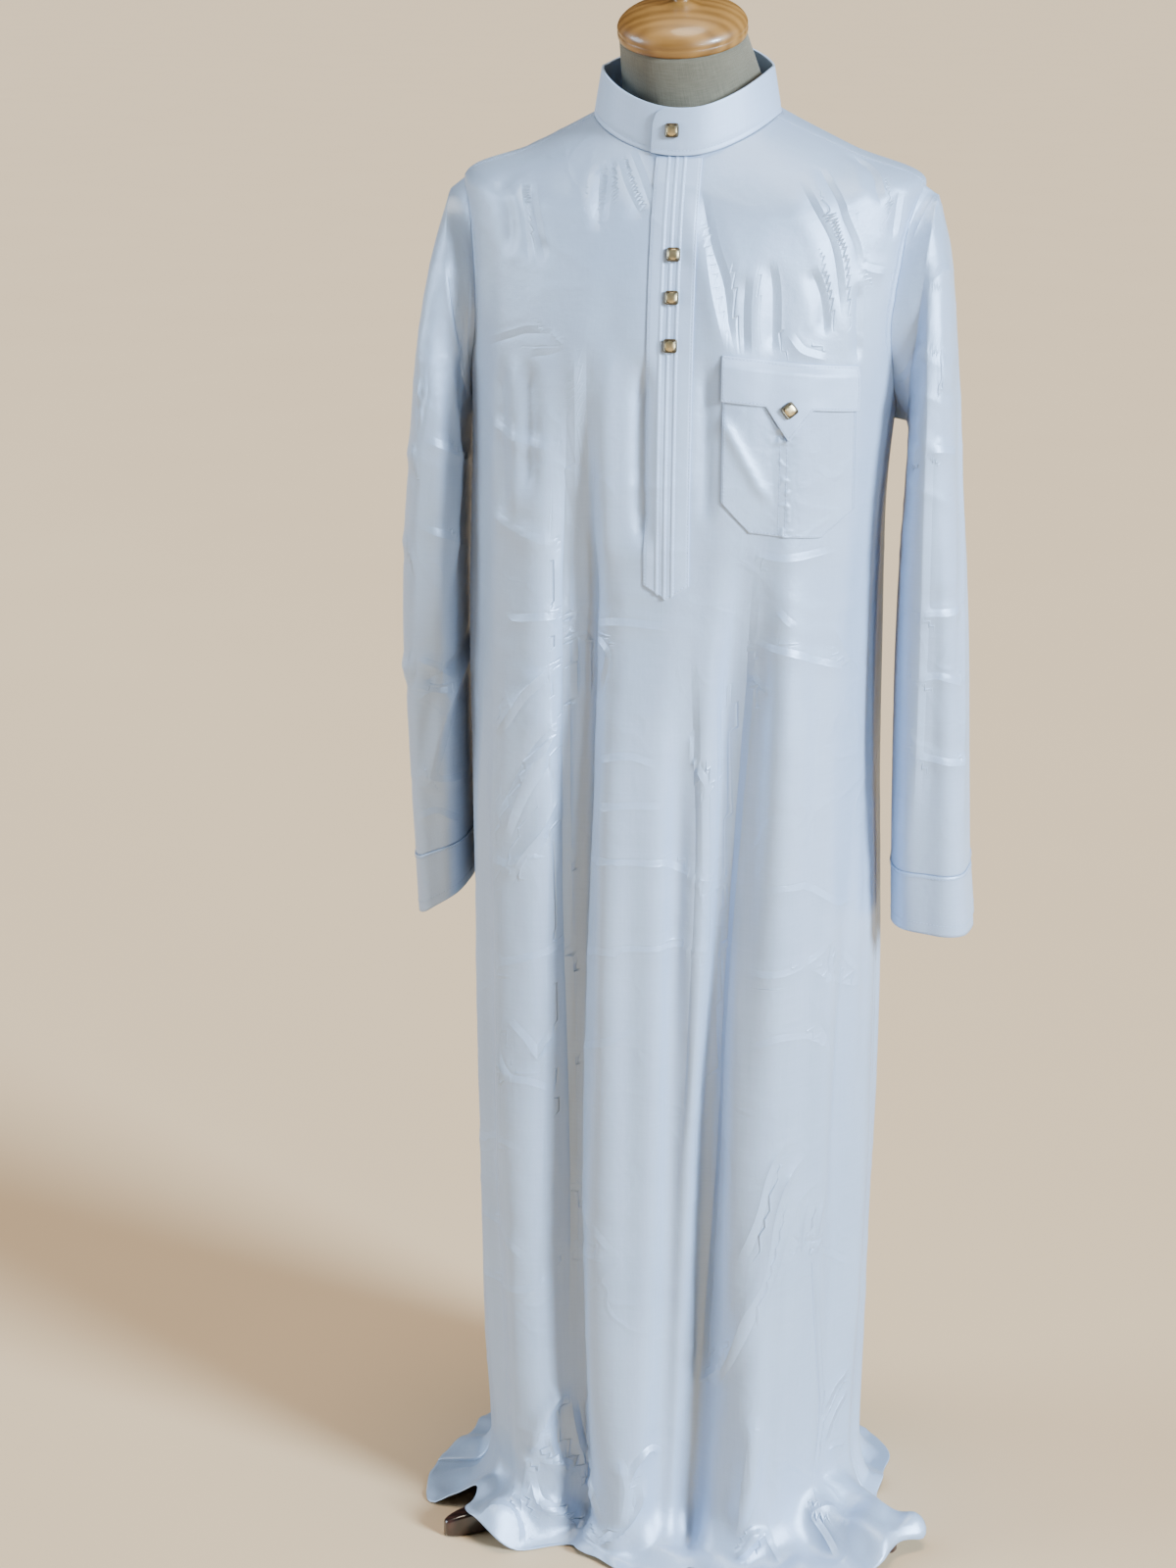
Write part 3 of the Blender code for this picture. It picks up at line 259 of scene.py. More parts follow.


# Creases laid on one by one. line is places along it: angle and ring number on the body, or the turn
# round the sleeve and its section. height is out along the cloth (in is negative), lean is how much
# of a trough lies beside it and on which side, crisp sharpens it, and sharp is the height of the thin
# line pressed along it.
Crease = namedtuple("Crease", "name line width height lean crisp sharp")
BODY_CREASES = (
    Crease("middle flute's edge", ((-116, 8.81), (-118, 7.58), (-119, 6.75), (-119, 5.25), (-119, 3.95),
                                   (-120, 2.98)), 0.0078, -0.00281, 0.9, 1.5, -0.0015),
    Crease("right flute's edge", ((-65, 7.07), (-66, 6.55), (-68, 5.72), (-71, 4.86), (-74, 4.00),
                                  (-78, 2.49)), 0.0078, -0.003, -0.8, 1.5, -0.0015),
    Crease("left flute's ridge", ((-135, 6.14), (-133, 4.79), (-136, 3.46)), 0.009, 0.00396, 0.3, 1.6,
           0.00071),
    Crease("middle ridge", ((-74, 6.22), (-74, 5.29), (-76, 4.43)), 0.0078, 0.00182, 0.6, 1.5, 0.00099),
    Crease("middle hollow", ((-83, 6.57), (-82, 5.92), (-81, 5.31), (-85, 4.02)), 0.008, -0.00344, 0.3, 1.6,
           -0.00062),
    Crease("middle hollow's crease", ((-83, 5.96), (-82, 5.83), (-78, 5.71)), 0.0078, 0.00105, 0.6, 1.5,
           0.0014),
    Crease("waist crease left", ((-132, 6.57), (-129, 6.53), (-123, 6.55), (-119, 6.56)), 0.0078, 0.00089,
           0.8, 1.5, 0.0006),
    Crease("waist crease middle", ((-117, 6.49), (-101, 6.55), (-88, 6.53)), 0.0078, 0.00078, 0.7, 1.5,
           0.0006),
    Crease("waist crease right", ((-66, 6.46), (-63, 6.43), (-58, 6.41), (-49, 6.35), (-34, 6.26)), 0.0078,
           0.00113, 0.8, 1.5, 0.0006),
    Crease("waist pinch", ((-66, 6.27), (-64, 6.20), (-63, 6.18)), 0.0078, 0.00113, 0.8, 1.5, 0.0014),
    Crease("pinch under the pocket", ((-60, 6.65), (-58, 6.60), (-56, 6.56)), 0.0078, 0.00071, 0.8, 1.5,
           0.0006),
    Crease("middle curl, left", ((-117, 6.44), (-117, 6.26), (-117, 6.09)), 0.0078, 0.00105, 0.7, 1.5,
           0.0014),
    Crease("middle curl, right", ((-113, 6.46), (-106, 6.37), (-109, 6.16)), 0.0078, 0.00125, 0.7, 1.5,
           0.0014),
    Crease("right side, upper", ((-43, 6.58), (-36, 6.39), (-27, 6.23), (-19, 6.13)), 0.0078, 0.00098, 0.8,
           1.5, 0.0006),
    Crease("right side, lower", ((-35, 6.06), (-28, 5.96), (-21, 5.88)), 0.0078, 0.00081, 0.8, 1.5, 0.0006),
    Crease("under pocket", ((-70, 7.03), (-58, 6.98), (-40, 7.04)), 0.0078, 0.00093, 0.6, 1.5, 0.00056),
    Crease("left flute, first diagonal", ((-122, 6.29), (-127, 6.11), (-134, 5.88)), 0.0078, 0.00182, 0.8,
           1.5, 0.0014),
    Crease("left flute, second diagonal", ((-119, 6.04), (-121, 5.91), (-125, 5.71), (-131, 5.41)), 0.0078,
           0.00245, 0.8, 1.5, 0.0014),
    Crease("left flute, trough", ((-121, 5.99), (-125, 5.81), (-132, 5.53)), 0.0078, -0.00172, 0.4, 1.5,
           -0.00095),
    Crease("left flute, third diagonal", ((-119, 5.68), (-123, 5.47), (-131, 5.22)), 0.0078, 0.00146, 0.6,
           1.5, 0.0014),
    Crease("fold line, left", ((-139, 5.31), (-132, 5.31), (-127, 5.31), (-125, 5.36)), 0.0078, 0.00106,
           0.9, 1.5, 0.0006),
    Crease("fold line, middle", ((-117, 5.34), (-99, 5.39), (-91, 5.38), (-87, 5.35), (-81, 5.32),
                                 (-71, 5.29)), 0.0078, 0.00098, 0.9, 1.5, 0.0006),
    Crease("fold line, right", ((-63, 5.25), (-59, 5.29), (-52, 5.28), (-36, 5.15), (-21, 5.12)), 0.0078,
           0.00089, 0.9, 1.5, 0.0006),
    Crease("soft band, upper", ((-108, 5.80), (-99, 5.85), (-92, 5.81)), 0.0078, 0.00073, 0.6, 1.5,
           0.00056),
    Crease("soft band, lower", ((-108, 5.60), (-97, 5.63), (-90, 5.63)), 0.0078, 0.00073, 0.6, 1.5,
           0.00056),
    Crease("second line, left", ((-134, 4.85), (-124, 4.92), (-118, 4.97)), 0.0078, 0.00106, 0.8, 1.5,
           0.0006),
    Crease("second line, middle", ((-117, 4.92), (-98, 5.02), (-87, 5.02), (-71, 4.99)), 0.0078, 0.00081,
           0.8, 1.5, 0.0006),
    Crease("crumple, rise", ((-67, 4.91), (-59, 4.92), (-50, 4.94), (-40, 5.01)), 0.0078, 0.00113, 0.8, 1.5,
           0.0006),
    Crease("crumple, foot", ((-52, 4.96), (-43, 4.86), (-25, 4.75), (-12, 4.71)), 0.0078, 0.00098, 0.8, 1.5,
           0.0006),
    Crease("crumple, peak's left", ((-41, 5.00), (-42, 4.91), (-40, 4.83)), 0.0078, -0.0012, 0.6, 1.5,
           -0.0015),
    Crease("crumple, peak's right", ((-38, 4.99), (-24, 4.83), (-19, 4.76)), 0.0078, 0.00084, 0.8, 1.5,
           0.0006),
    Crease("third line, right", ((-67, 4.57), (-59, 4.64), (-50, 4.62), (-35, 4.50)), 0.0078, 0.00098, 0.8,
           1.5, 0.0006),
    Crease("third line, notch", ((-45, 4.68), (-41, 4.59), (-38, 4.51)), 0.0078, -0.00069, 0.6, 1.5,
           -0.00075),
    Crease("third line, middle", ((-117, 4.50), (-102, 4.62), (-94, 4.69)), 0.0078, 0.00098, 0.8, 1.5,
           0.0006),
    Crease("left crumple, down", ((-130, 4.64), (-126, 4.55), (-124, 4.47)), 0.0078, 0.00122, 0.8, 1.5,
           0.0006),
    Crease("left crumple, up", ((-124, 4.47), (-123, 4.52), (-121, 4.58)), 0.0078, 0.00136, 0.8, 1.5,
           0.0014),
    Crease("left crumple, side", ((-134, 4.51), (-132, 4.42), (-129, 4.36)), 0.0078, 0.00151, 0.8, 1.5,
           0.0014),
    Crease("left crumple, foot", ((-130, 4.37), (-126, 4.37), (-122, 4.33)), 0.0078, 0.00087, 0.8, 1.5,
           0.0006),
    Crease("left thigh line", ((-153, 3.98), (-133, 4.08), (-127, 4.06)), 0.0078, 0.00087, 0.8, 1.5,
           0.0006),
    Crease("left knee, down", ((-148, 3.69), (-133, 3.65), (-127, 3.57)), 0.0078, 0.00142, 0.8, 1.5,
           0.0006),
    Crease("left knee, hook", ((-152, 3.40), (-134, 3.41), (-127, 3.43), (-122, 3.52)), 0.0078, 0.00132,
           0.8, 1.5, 0.0006),
    Crease("middle knee, down", ((-119, 3.93), (-110, 3.82), (-102, 3.68)), 0.0078, 0.00127, 0.7, 1.5,
           0.0006),
    Crease("middle knee, foot", ((-119, 3.62), (-108, 3.65), (-102, 3.66)), 0.0078, 0.00089, 0.8, 1.5,
           0.0006),
    Crease("long ridge", ((-43, 4.13), (-55, 4.02), (-59, 3.85), (-61, 3.67), (-65, 3.50), (-69, 3.26),
                          (-75, 2.95)), 0.0078, 0.003, 0.8, 1.5, 0.0014),
    Crease("long ridge's second", ((-38, 3.98), (-49, 3.91), (-54, 3.77), (-57, 3.62), (-62, 3.44)), 0.0078,
           0.00122, 0.8, 1.5, 0.0006),
    Crease("long ridge's third", ((-54, 4.22), (-61, 4.08), (-64, 3.88), (-68, 3.66)), 0.0078, 0.0016, 0.7,
           1.5, 0.0014),
    Crease("long ridge's tail", ((-71, 3.27), (-72, 3.16), (-77, 2.99)), 0.0078, 0.0015, 0.7, 1.5, 0.0014),
    Crease("pucker, left dart", ((-48, 3.64), (-48, 3.77), (-46, 3.90)), 0.0078, 0.00153, 0.8, 1.5, 0.0014),
    Crease("pucker, right dart", ((-41, 3.61), (-41, 3.73), (-39, 3.87)), 0.0078, 0.00141, -0.8, 1.5,
           0.0014),
    Crease("pucker, across", ((-53, 3.77), (-48, 3.71), (-40, 3.69)), 0.0078, -0.00092, 0.5, 1.5, -0.00075),
    Crease("pucker, foot", ((-41, 3.64), (-26, 3.53), (-19, 3.47)), 0.0078, 0.00092, 0.8, 1.5, 0.0006),
    Crease("seam's drawn side", ((-43, 3.62), (-38, 3.25), (-31, 2.65), (-39, 1.58)), 0.0078, -0.00105, 0.8,
           1.5, -0.0015),
    Crease("right hem, first", ((-14, 2.86), (-24, 2.76), (-28, 2.63)), 0.0078, 0.00162, 0.7, 1.5, 0.0014),
    Crease("right hem, second", ((-14, 2.71), (-25, 2.51), (-28, 2.35)), 0.0078, 0.00151, 0.7, 1.5, 0.0014),
    Crease("right hem, third", ((-26, 2.28), (-22, 2.27), (-15, 2.20)), 0.0078, 0.00101, 0.8, 1.5, 0.0014),
    Crease("right hem, knot", ((-45, 1.60), (-39, 1.46), (-33, 1.20)), 0.0078, 0.00186, 0.6, 1.5, 0.0014),
    Crease("right hem, tail", ((-44, 1.60), (-43, 1.19), (-44, 0.65)), 0.0078, 0.00151, 0.7, 1.5, 0.0014),
    Crease("left chest, outer fold", ((-149, 11.47), (-134, 10.82), (-133, 10.17)), 0.009, -0.00385, -0.4,
           1.6, 0),
    Crease("left chest, first fold", ((-140, 11.55), (-129, 10.91), (-128, 10.48), (-127, 10.06)), 0.0078,
           -0.00226, -0.8, 1.5, -0.0009),
    Crease("left chest, second fold", ((-136, 11.58), (-126, 10.87), (-124, 10.46), (-122, 10.12)), 0.0078,
           -0.0024, -0.8, 1.5, -0.00105),
    Crease("left chest, third fold", ((-123, 12.36), (-111, 11.45), (-108, 10.61)), 0.007, -0.00308, -0.5,
           1.5, -0.0009),
    Crease("left chest, fourth fold", ((-122, 12.59), (-112, 11.74), (-108, 10.83)), 0.0078, -0.00159, -0.6,
           1.5, -0.0009),
    Crease("left collar fold", ((-118, 12.88), (-103, 12.10), (-96, 11.25)), 0.0078, -0.00213, -0.8, 1.5,
           -0.00124),
    Crease("left collar, second fold", ((-121, 12.66), (-106, 11.82), (-97, 10.90)), 0.0078, -0.00178, -0.6,
           1.5, -0.0009),
    Crease("left chest line", ((-144, 8.99), (-132, 9.10), (-127, 9.15), (-117, 9.13)), 0.0078, -0.00015,
           0.8, 1.5, -0.00052),
    Crease("left chest, short line", ((-126, 8.83), (-121, 8.85), (-117, 8.91)), 0.0078, -0.00013, 0.8, 1.5,
           -0.00059),
    Crease("left chest pucker", ((-121, 9.22), (-119, 9.08), (-117, 8.97)), 0.0078, 0.00013, 0.8, 1.5,
           0.00045),
    Crease("left belly, first hollow", ((-136, 8.88), (-136, 7.99), (-134, 7.20)), 0.008, -0.00265, 0.3,
           1.6, 0),
    Crease("left belly, ridge", ((-131, 8.96), (-130, 7.81), (-130, 7.10)), 0.008, 0.00318, 0.3, 1.6, 0),
    Crease("left belly, second hollow", ((-126, 8.84), (-126, 8.01), (-126, 7.35)), 0.007, -0.0037, 0.4,
           1.5, 0),
    Crease("middle belly, ridge", ((-114, 9.14), (-115, 8.12), (-117, 7.21)), 0.0078, 0.0021, 0.4, 1.5,
           0.00063),
    Crease("middle belly, hollow", ((-111, 9.08), (-112, 8.01), (-114, 7.21)), 0.0078, -0.00168, 0.3, 1.5,
           -0.0005),
    Crease("middle belly, crest", ((-105, 9.19), (-106, 7.84), (-105, 6.78)), 0.01, 0.0037, 0.3, 1.8, 0),
    Crease("beside the placket, left", ((-97, 8.87), (-97, 7.84), (-96, 6.98)), 0.008, -0.00952, 0.4, 1.6,
           0),
    Crease("right chest, first fold", ((-38, 12.03), (-50, 11.17), (-49, 10.78), (-45, 10.37), (-42, 9.93)),
           0.0078, -0.00213, -0.8, 1.5, -0.0011),
    Crease("right chest, second fold",
           ((-52, 11.79), (-56, 10.93), (-52, 10.46), (-50, 10.13), (-47, 9.41)), 0.0078, -0.00193, -0.8,
           1.5, -0.0011),
    Crease("right shoulder fold", ((-15, 12.00), (-24, 11.64), (-36, 11.23), (-37, 10.82)), 0.0078,
           -0.00266, -0.8, 1.5, -0.00105),
    Crease("right armhole fold", ((-28, 11.15), (-30, 10.78), (-31, 10.41)), 0.0078, -0.00188, 0.6, 1.5,
           -0.00092),
    Crease("beside the placket, right", ((-82, 11.98), (-81, 10.58), (-77, 9.83), (-75, 9.22), (-73, 8.85)),
           0.0078, -0.00353, -0.7, 1.5, -0.0009),
    Crease("beside the placket, ridge", ((-83, 10.83), (-81, 9.98), (-79, 9.47), (-76, 8.95)), 0.0078,
           0.00146, 0.5, 1.5, 0.00063),
    Crease("above pocket, first", ((-72, 10.06), (-72, 9.50), (-71, 8.85)), 0.0078, -0.00249, -0.6, 1.5,
           -0.0009),
    Crease("above pocket, second", ((-67, 10.31), (-65, 9.69), (-64, 8.89)), 0.0078, -0.00281, -0.6, 1.5,
           -0.0009),
    Crease("above pocket, third", ((-57, 10.17), (-53, 9.68), (-51, 9.19)), 0.007, -0.0035, -0.4, 1.5,
           -0.0009),
    Crease("above pocket, fourth", ((-43, 9.97), (-42, 9.41), (-40, 8.85)), 0.007, -0.0027, -0.4, 1.5,
           -0.0011),
    Crease("above pocket, pucker", ((-61, 9.19), (-57, 8.97), (-50, 8.89)), 0.0078, 0.00105, 0.6, 1.5,
           0.0009),
    Crease("right chest line", ((-43, 10.12), (-38, 10.06), (-33, 10.03)), 0.0078, 0.00105, 0.7, 1.5,
           0.0009),
    Crease("right belly hollow", ((-81, 8.92), (-80, 7.96), (-79, 7.17)), 0.007, -0.00396, 0.4, 1.5, 0),
    Crease("left belly, upper", ((-142, 7.98), (-129, 7.80), (-119, 7.73)), 0.007, 0.00157, 0.6, 1.6,
           0.0002),
    Crease("left belly, lower", ((-142, 7.24), (-128, 7.10), (-120, 7.01)), 0.007, 0.00176, 0.6, 1.6,
           0.00022),
    Crease("cone, left side", ((-120, 2.87), (-124, 2.69), (-126, 2.51), (-128, 2.30)), 0.0078, 0.00505,
           0.8, 1.5, 0.0014),
    Crease("cone's outer edge", ((-128, 2.35), (-130, 1.65), (-128, 1.01)), 0.0078, 0.00388, 0.8, 1.5,
           0.0014),
    Crease("cone, right side", ((-120, 2.84), (-119, 2.45), (-110, 2.07), (-106, 1.51)), 0.007, 0.0056,
           -0.7, 1.4, 0.0014),
    Crease("cone's inner ridge", ((-124, 2.58), (-123, 2.34), (-120, 2.03)), 0.0078, 0.00188, 0.7, 1.5,
           0.0014),
    Crease("hem, shelf", ((-126, 2.28), (-122, 2.24), (-119, 2.12)), 0.0078, 0.00216, 0.8, 1.5, 0.0014),
    Crease("hem, bright ridge", ((-129, 2.16), (-126, 1.51), (-121, 1.34), (-111, 1.21), (-106, 0.94)),
           0.0078, 0.00371, 0.7, 1.5, 0.0014),
    Crease("hem, left ridge", ((-133, 0.00), (-132, 0.54), (-130, 0.81), (-127, 0.62), (-124, 0.01)),
           0.0078, 0.00297, 0.7, 1.5, 0.0014),
    Crease("hem, right edge", ((-106, 0.72), (-98, 1.66), (-95, 2.07), (-95, 2.30)), 0.0078, 0.002, -0.8,
           1.5, 0.0014),
    Crease("hem, arc", ((-101, 2.53), (-99, 2.24), (-100, 1.63)), 0.007, 0.00364, 0.5, 1.5, 0.00066),
    Crease("hem, middle break", ((-98, 2.32), (-96, 2.45), (-93, 2.55), (-90, 2.48)), 0.0078, 0.00186, 0.6,
           1.5, 0.0014),
    Crease("hem, peak's left", ((-61, 1.76), (-65, 1.48), (-69, 1.10)), 0.007, 0.00588, 0.6, 1.4, 0.0014),
    Crease("hem, peak's right", ((-61, 1.76), (-59, 1.39), (-58, 0.98)), 0.0078, 0.00267, 0.6, 1.5, 0.0014),
    Crease("hem, right ridge", ((-63, 2.92), (-64, 2.48), (-68, 1.56)), 0.009, 0.0049, 0.6, 1.7, 0.00088),
)
LEFT_CREASES = (
    Crease("cap, first", ((213, 9.00), (251, 7.67), (281, 6.80)), 0.0078, 0.00216, 0.8, 1.5, 0.0007),
    Crease("cap line", ((318, 8.80), (340, 8.40), (357, 8.00)), 0.0078, 0.00155, 0.8, 1.5, 0.0007),
    Crease("cap crumple, lower", ((340, 8.28), (344, 7.71), (351, 7.35)), 0.0078, 0.00125, 0.7, 1.5,
           0.0007),
    Crease("upper arm line", ((291, 7.77), (304, 7.40), (340, 6.85)), 0.0078, 0.00144, 0.8, 1.5, 0.0007),
    Crease("arm, first line", ((266, 5.37), (291, 5.28), (331, 5.08)), 0.0078, 0.00148, 0.8, 1.5, 0.0007),
    Crease("elbow line", ((251, 3.70), (284, 3.71), (328, 3.71)), 0.0078, 0.00189, 0.8, 1.5, 0.0007),
    Crease("forearm line", ((249, 3.11), (283, 3.15), (327, 3.04)), 0.0078, 0.00123, 0.8, 1.5, 0.0007),
    Crease("wrist line", ((245, 2.51), (282, 2.47), (333, 2.41)), 0.0078, 0.00189, 0.8, 1.5, 0.0007),
    Crease("front fold", ((313, 8.04), (281, 7.26), (263, 5.19), (258, 3.62), (248, 1.58)), 0.0078, 0.00253,
           0.9, 1.5, 0.0007),
    Crease("outer fold", ((358, 6.59), (352, 4.88), (332, 3.55), (318, 1.54)), 0.0078, 0.00207, -0.6, 1.5,
           0.00057),
)
RIGHT_CREASES = (
    Crease("upper arm line", ((79, 5.28), (121, 5.33), (177, 5.07)), 0.0078, 0.00186, 0.8, 1.5, 0.0007),
    Crease("arm, second line", ((75, 4.34), (121, 4.27), (184, 3.99)), 0.0078, 0.0016, 0.8, 1.5, 0.0007),
    Crease("elbow, first", ((72, 3.10), (103, 3.06), (138, 2.93)), 0.0078, 0.00216, 0.8, 1.5, 0.0007),
    Crease("elbow, second", ((82, 2.91), (112, 2.99), (146, 3.09)), 0.0078, -0.00176, 0.7, 1.5, -0.0009),
    Crease("elbow, third", ((73, 2.77), (101, 2.84), (131, 2.83)), 0.0078, 0.00148, 0.8, 1.5, 0.0007),
    Crease("long fold", ((201, 3.27), (141, 2.89), (112, 2.51), (76, 1.93)), 0.0078, 0.00371, -0.8, 1.5,
           0.0007),
    Crease("cap, first", ((43, 8.11), (49, 8.58), (76, 8.84), (253, 7.19)), 0.0078, 0.00225, 0.7, 1.5,
           0.0007),
    Crease("cap, second", ((345, 8.79), (313, 8.54), (283, 8.18)), 0.0078, -0.00172, 0.7, 1.5, -0.0009),
    Crease("cap, third", ((61, 7.88), (90, 7.79), (123, 7.79)), 0.007, 0.00336, 0.5, 1.5, 0.00031),
    Crease("forearm line", ((65, 2.19), (107, 2.10), (148, 2.06)), 0.0078, 0.0015, 0.8, 1.5, 0.0007),
    Crease("wrist line", ((58, 1.60), (97, 1.67), (134, 1.39)), 0.0078, 0.00137, 0.8, 1.5, 0.0007),
    Crease("front fold", ((98, 8.29), (146, 5.03), (135, 3.57)), 0.007, 0.00392, 0.6, 1.5, 0.00031),
)

# The panels' rows: more of them where the cloth lies on the floor.
ROW_SHARES = (0.0, 0.12, 0.20, 0.62, 1.0)
ROW_PLACES = (0.0, 2.0 / NECK, 2.75 / NECK, 7.0 / NECK, 1.0)

def smooth_curve(places, values, x):
    """Values at x on a smooth curve through a table's values at its places."""
    places, values = np.asarray(places, float), np.asarray(values, float)
    x = np.clip(x, places[0], places[-1])
    rises = np.diff(values) / np.diff(places)
    before, after = rises[:-1], rises[1:]
    level = before * after <= 0
    middles = np.where(level, 0, 2 * before * after / np.where(level, 1, before + after))
    slopes = np.concatenate([rises[:1], middles, rises[-1:]])
    i = np.clip(np.searchsorted(places, x, side="right") - 1, 0, len(places) - 2)
    span = places[i + 1] - places[i]
    f = (x - places[i]) / span
    rise = values[i + 1] - values[i]
    start, end = slopes[i] * span, slopes[i + 1] * span
    return values[i] + f * (start + f * (3 * rise - 2 * start - end + f * (start + end - 2 * rise)))


def column(rows, name, v):
    """A table's column as a smooth curve over the row number v."""
    return smooth_curve(range(len(rows)), [getattr(row, name) for row in rows], v)


def smooth_step(low, high, x):
    f = np.clip((x - low) / (high - low), 0, 1)
    return f * f * (3 - 2 * f)


def hem_reach(angle):
    """How far the hem lies from the middle, at an angle in degrees, all the way round."""
    places = [r.angle for r in REACHES]
    values = [r.distance for r in REACHES]
    around = [places[-1] - 360] + places + [places[0] + 360]
    beyond = [values[-1]] + values + [values[0]]
    return smooth_curve(around, beyond, (angle + 180) % 360 - 180)


def fold_out(angle, z):
    """How far the folds move the cloth out, at an angle in degrees and a height."""
    out = np.zeros_like(z)
    for fold in FOLDS:
        drop = np.clip((fold.top - z) / fold.top, 0, 1)
        middle = fold.high_angle + (fold.low_angle - fold.high_angle) * drop
        away = ((angle - middle + 180) % 360 - 180) / fold.width
        out += fold.depth * smooth_step(fold.top, fold.full, z) * np.exp(-away * away)
    return out


def over_legs(x, y, z):
    """The cloth's height where it is lifted over the stand's legs."""
    for degrees in LEG_ANGLES.values():
        a = math.radians(degrees)
        along = x * math.cos(a) + y * math.sin(a)
        across = np.abs(y * math.cos(a) - x * math.sin(a))
        cover = (1 - smooth_step(0.024, 0.062, across)) * (along > 0)
        cover = cover * (1 - smooth_step(-0.006, 0.018, along - HUB_RADIUS - LEG_LENGTH))
        z = z + cover * (LEG_HEIGHT + 0.005) * (1 - smooth_step(0.0, 0.075, z))
    return z


def body(angle, v):
    """Points of the body's outer skin, at angles in degrees and ring numbers."""
    t = np.radians(angle)
    c, s = np.cos(t), np.sin(t)
    swell = 1 + column(RINGS, "boxy", v) * np.sin(2 * t) ** 2
    x = c * swell * np.where(c > 0, column(RINGS, "left", v), column(RINGS, "right", v))
    y = s * swell * np.where(s < 0, column(RINGS, "front", v), column(RINGS, "back", v))
    side_z = column(RINGS, "side_z", v)
    end_z = np.where(s < 0, column(RINGS, "front_z", v), column(RINGS, "back_z", v))
    z = side_z + (end_z - side_z) * s * s
    away = np.hypot(x, y)
    plan = np.degrees(np.arctan2(y, x))
    reach = away + (hem_reach(plan) - away) * np.clip(column(RINGS, "spread", v), 0, 1)
    grow = (reach + fold_out(angle, z)) / away
    x, y = x * grow, y * grow
    return np.stack([x, y, over_legs(x, y, z)], axis=-1)



def ring_form(angle, v):
    """Points of the dress form's skin."""
    t = np.radians(angle)
    c, s = np.cos(t), np.sin(t)
    x = c * column(FORM, "half", v)
    y = s * np.where(s < 0, column(FORM, "front", v), column(FORM, "back", v))
    side_z = column(FORM, "side_z", v)
    end_z = np.where(s < 0, column(FORM, "front_z", v), column(FORM, "back_z", v))
    return np.stack([x, y, side_z + (end_z - side_z) * s * s], axis=-1)


def edge_angle(v, panel, wearers_left):
    """The angle of a panel's sewn edge."""
    rings = [edge.ring for edge in EDGES]
    angle = smooth_curve(rings, [getattr(edge, panel) for edge in EDGES], v)
    return angle if wearers_left else (-180 - angle if panel == "front" else 180 - angle)


def unit(vectors):
    return vectors / np.maximum(np.linalg.norm(vectors, axis=-1, keepdims=True), 1e-12)


def body_skin(angle, v):
    """The body's points and their outward normals, before its creases."""
    turn = body(angle + 0.05, v) - body(angle - 0.05, v)
    rise = body(angle, v + 0.004) - body(angle, v - 0.004)
    return body(angle, v), unit(np.cross(turn, rise))


def smooth_line(points, steps=6):
    """A denser line through the points, rounded at each of them."""
    places = np.arange(len(points))
    dense = np.linspace(0, len(points) - 1, (len(points) - 1) * steps + 1)
    return np.stack([smooth_curve(places, points[:, k], dense) for k in range(3)], axis=1)


def across_crease(line, reach, points, normals):
    """For the points near a line: which they are, their signed distance from it and their share along it."""
    inside = (points > line.min(axis=0) - reach) & (points < line.max(axis=0) + reach)
    near = np.flatnonzero(inside.all(axis=1))
    p, n = points[near], normals[near]
    nearest = np.full(len(p), 1e9)
    side = np.zeros(len(p))
    share = np.zeros(len(p))
    lengths = np.linalg.norm(np.diff(line, axis=0), axis=1)
    passed = 0.0
    for start, end, length in zip(line, line[1:], lengths):
        run = (end - start) / length
        along = np.clip((p - start) @ run, 0, length)
        gap = p - start - along[:, None] * run
        gap = gap - n * (gap * n).sum(axis=1, keepdims=True)
        away = np.linalg.norm(gap, axis=1)
        closer = away < nearest
        nearest = np.where(closer, away, nearest)
        side = np.where(closer, np.sign((np.cross(n, run) * gap).sum(axis=1)), side)
        share = np.where(closer, (passed + along) / lengths.sum(), share)
        passed += length
    return near, side * nearest, share


def ends_fade(share):
    return smooth_step(0, 0.22, share) * smooth_step(0, 0.22, 1 - share)


def crease_height(crease, line, points, normals):
    """How far one crease moves each point along its normal."""
    height = np.zeros(len(points))
    near, away, share = across_crease(line, 3.6 * crease.width, points, normals)
    place = away / crease.width
    ridge = np.exp(-np.abs(place) ** crease.crisp)
    trough = abs(crease.lean) * 0.55 * np.exp(-((place * np.sign(crease.lean) - 1.9) ** 2))
    height[near] = crease.height * ends_fade(share) * (ridge - trough)
    return height


def mark_creases(piece, creases, lines):
    """Stores each vertex's distance from the nearest pressed line, and that line's height there."""
    count = len(piece.data.vertices)
    points, normals = np.empty(count * 3), np.empty(count * 3)
    piece.data.vertices.foreach_get("co", points)
    piece.data.vertices.foreach_get("normal", normals)
    points, normals = points.reshape(-1, 3), normals.reshape(-1, 3)
    nearest, rise = np.full(count, FAR_FROM_LINES), np.zeros(count)
    for crease, line in zip(creases, lines):
        if not crease.sharp:
            continue
        near, away, share = across_crease(line, LINE_REACH, points, normals)
        closer = np.abs(away) < np.abs(nearest[near])
        near, away, share = near[closer], away[closer], share[closer]
        nearest[near] = away
        rise[near] = crease.sharp * ends_fade(share) * (1 - smooth_step(LINE_REACH * 0.55, LINE_REACH,
                                                                        np.abs(away)))
    for name, values in (("line_away", nearest), ("line_rise", rise)):
        piece.data.attributes.new(name, "FLOAT", "POINT").data.foreach_set("value", values)


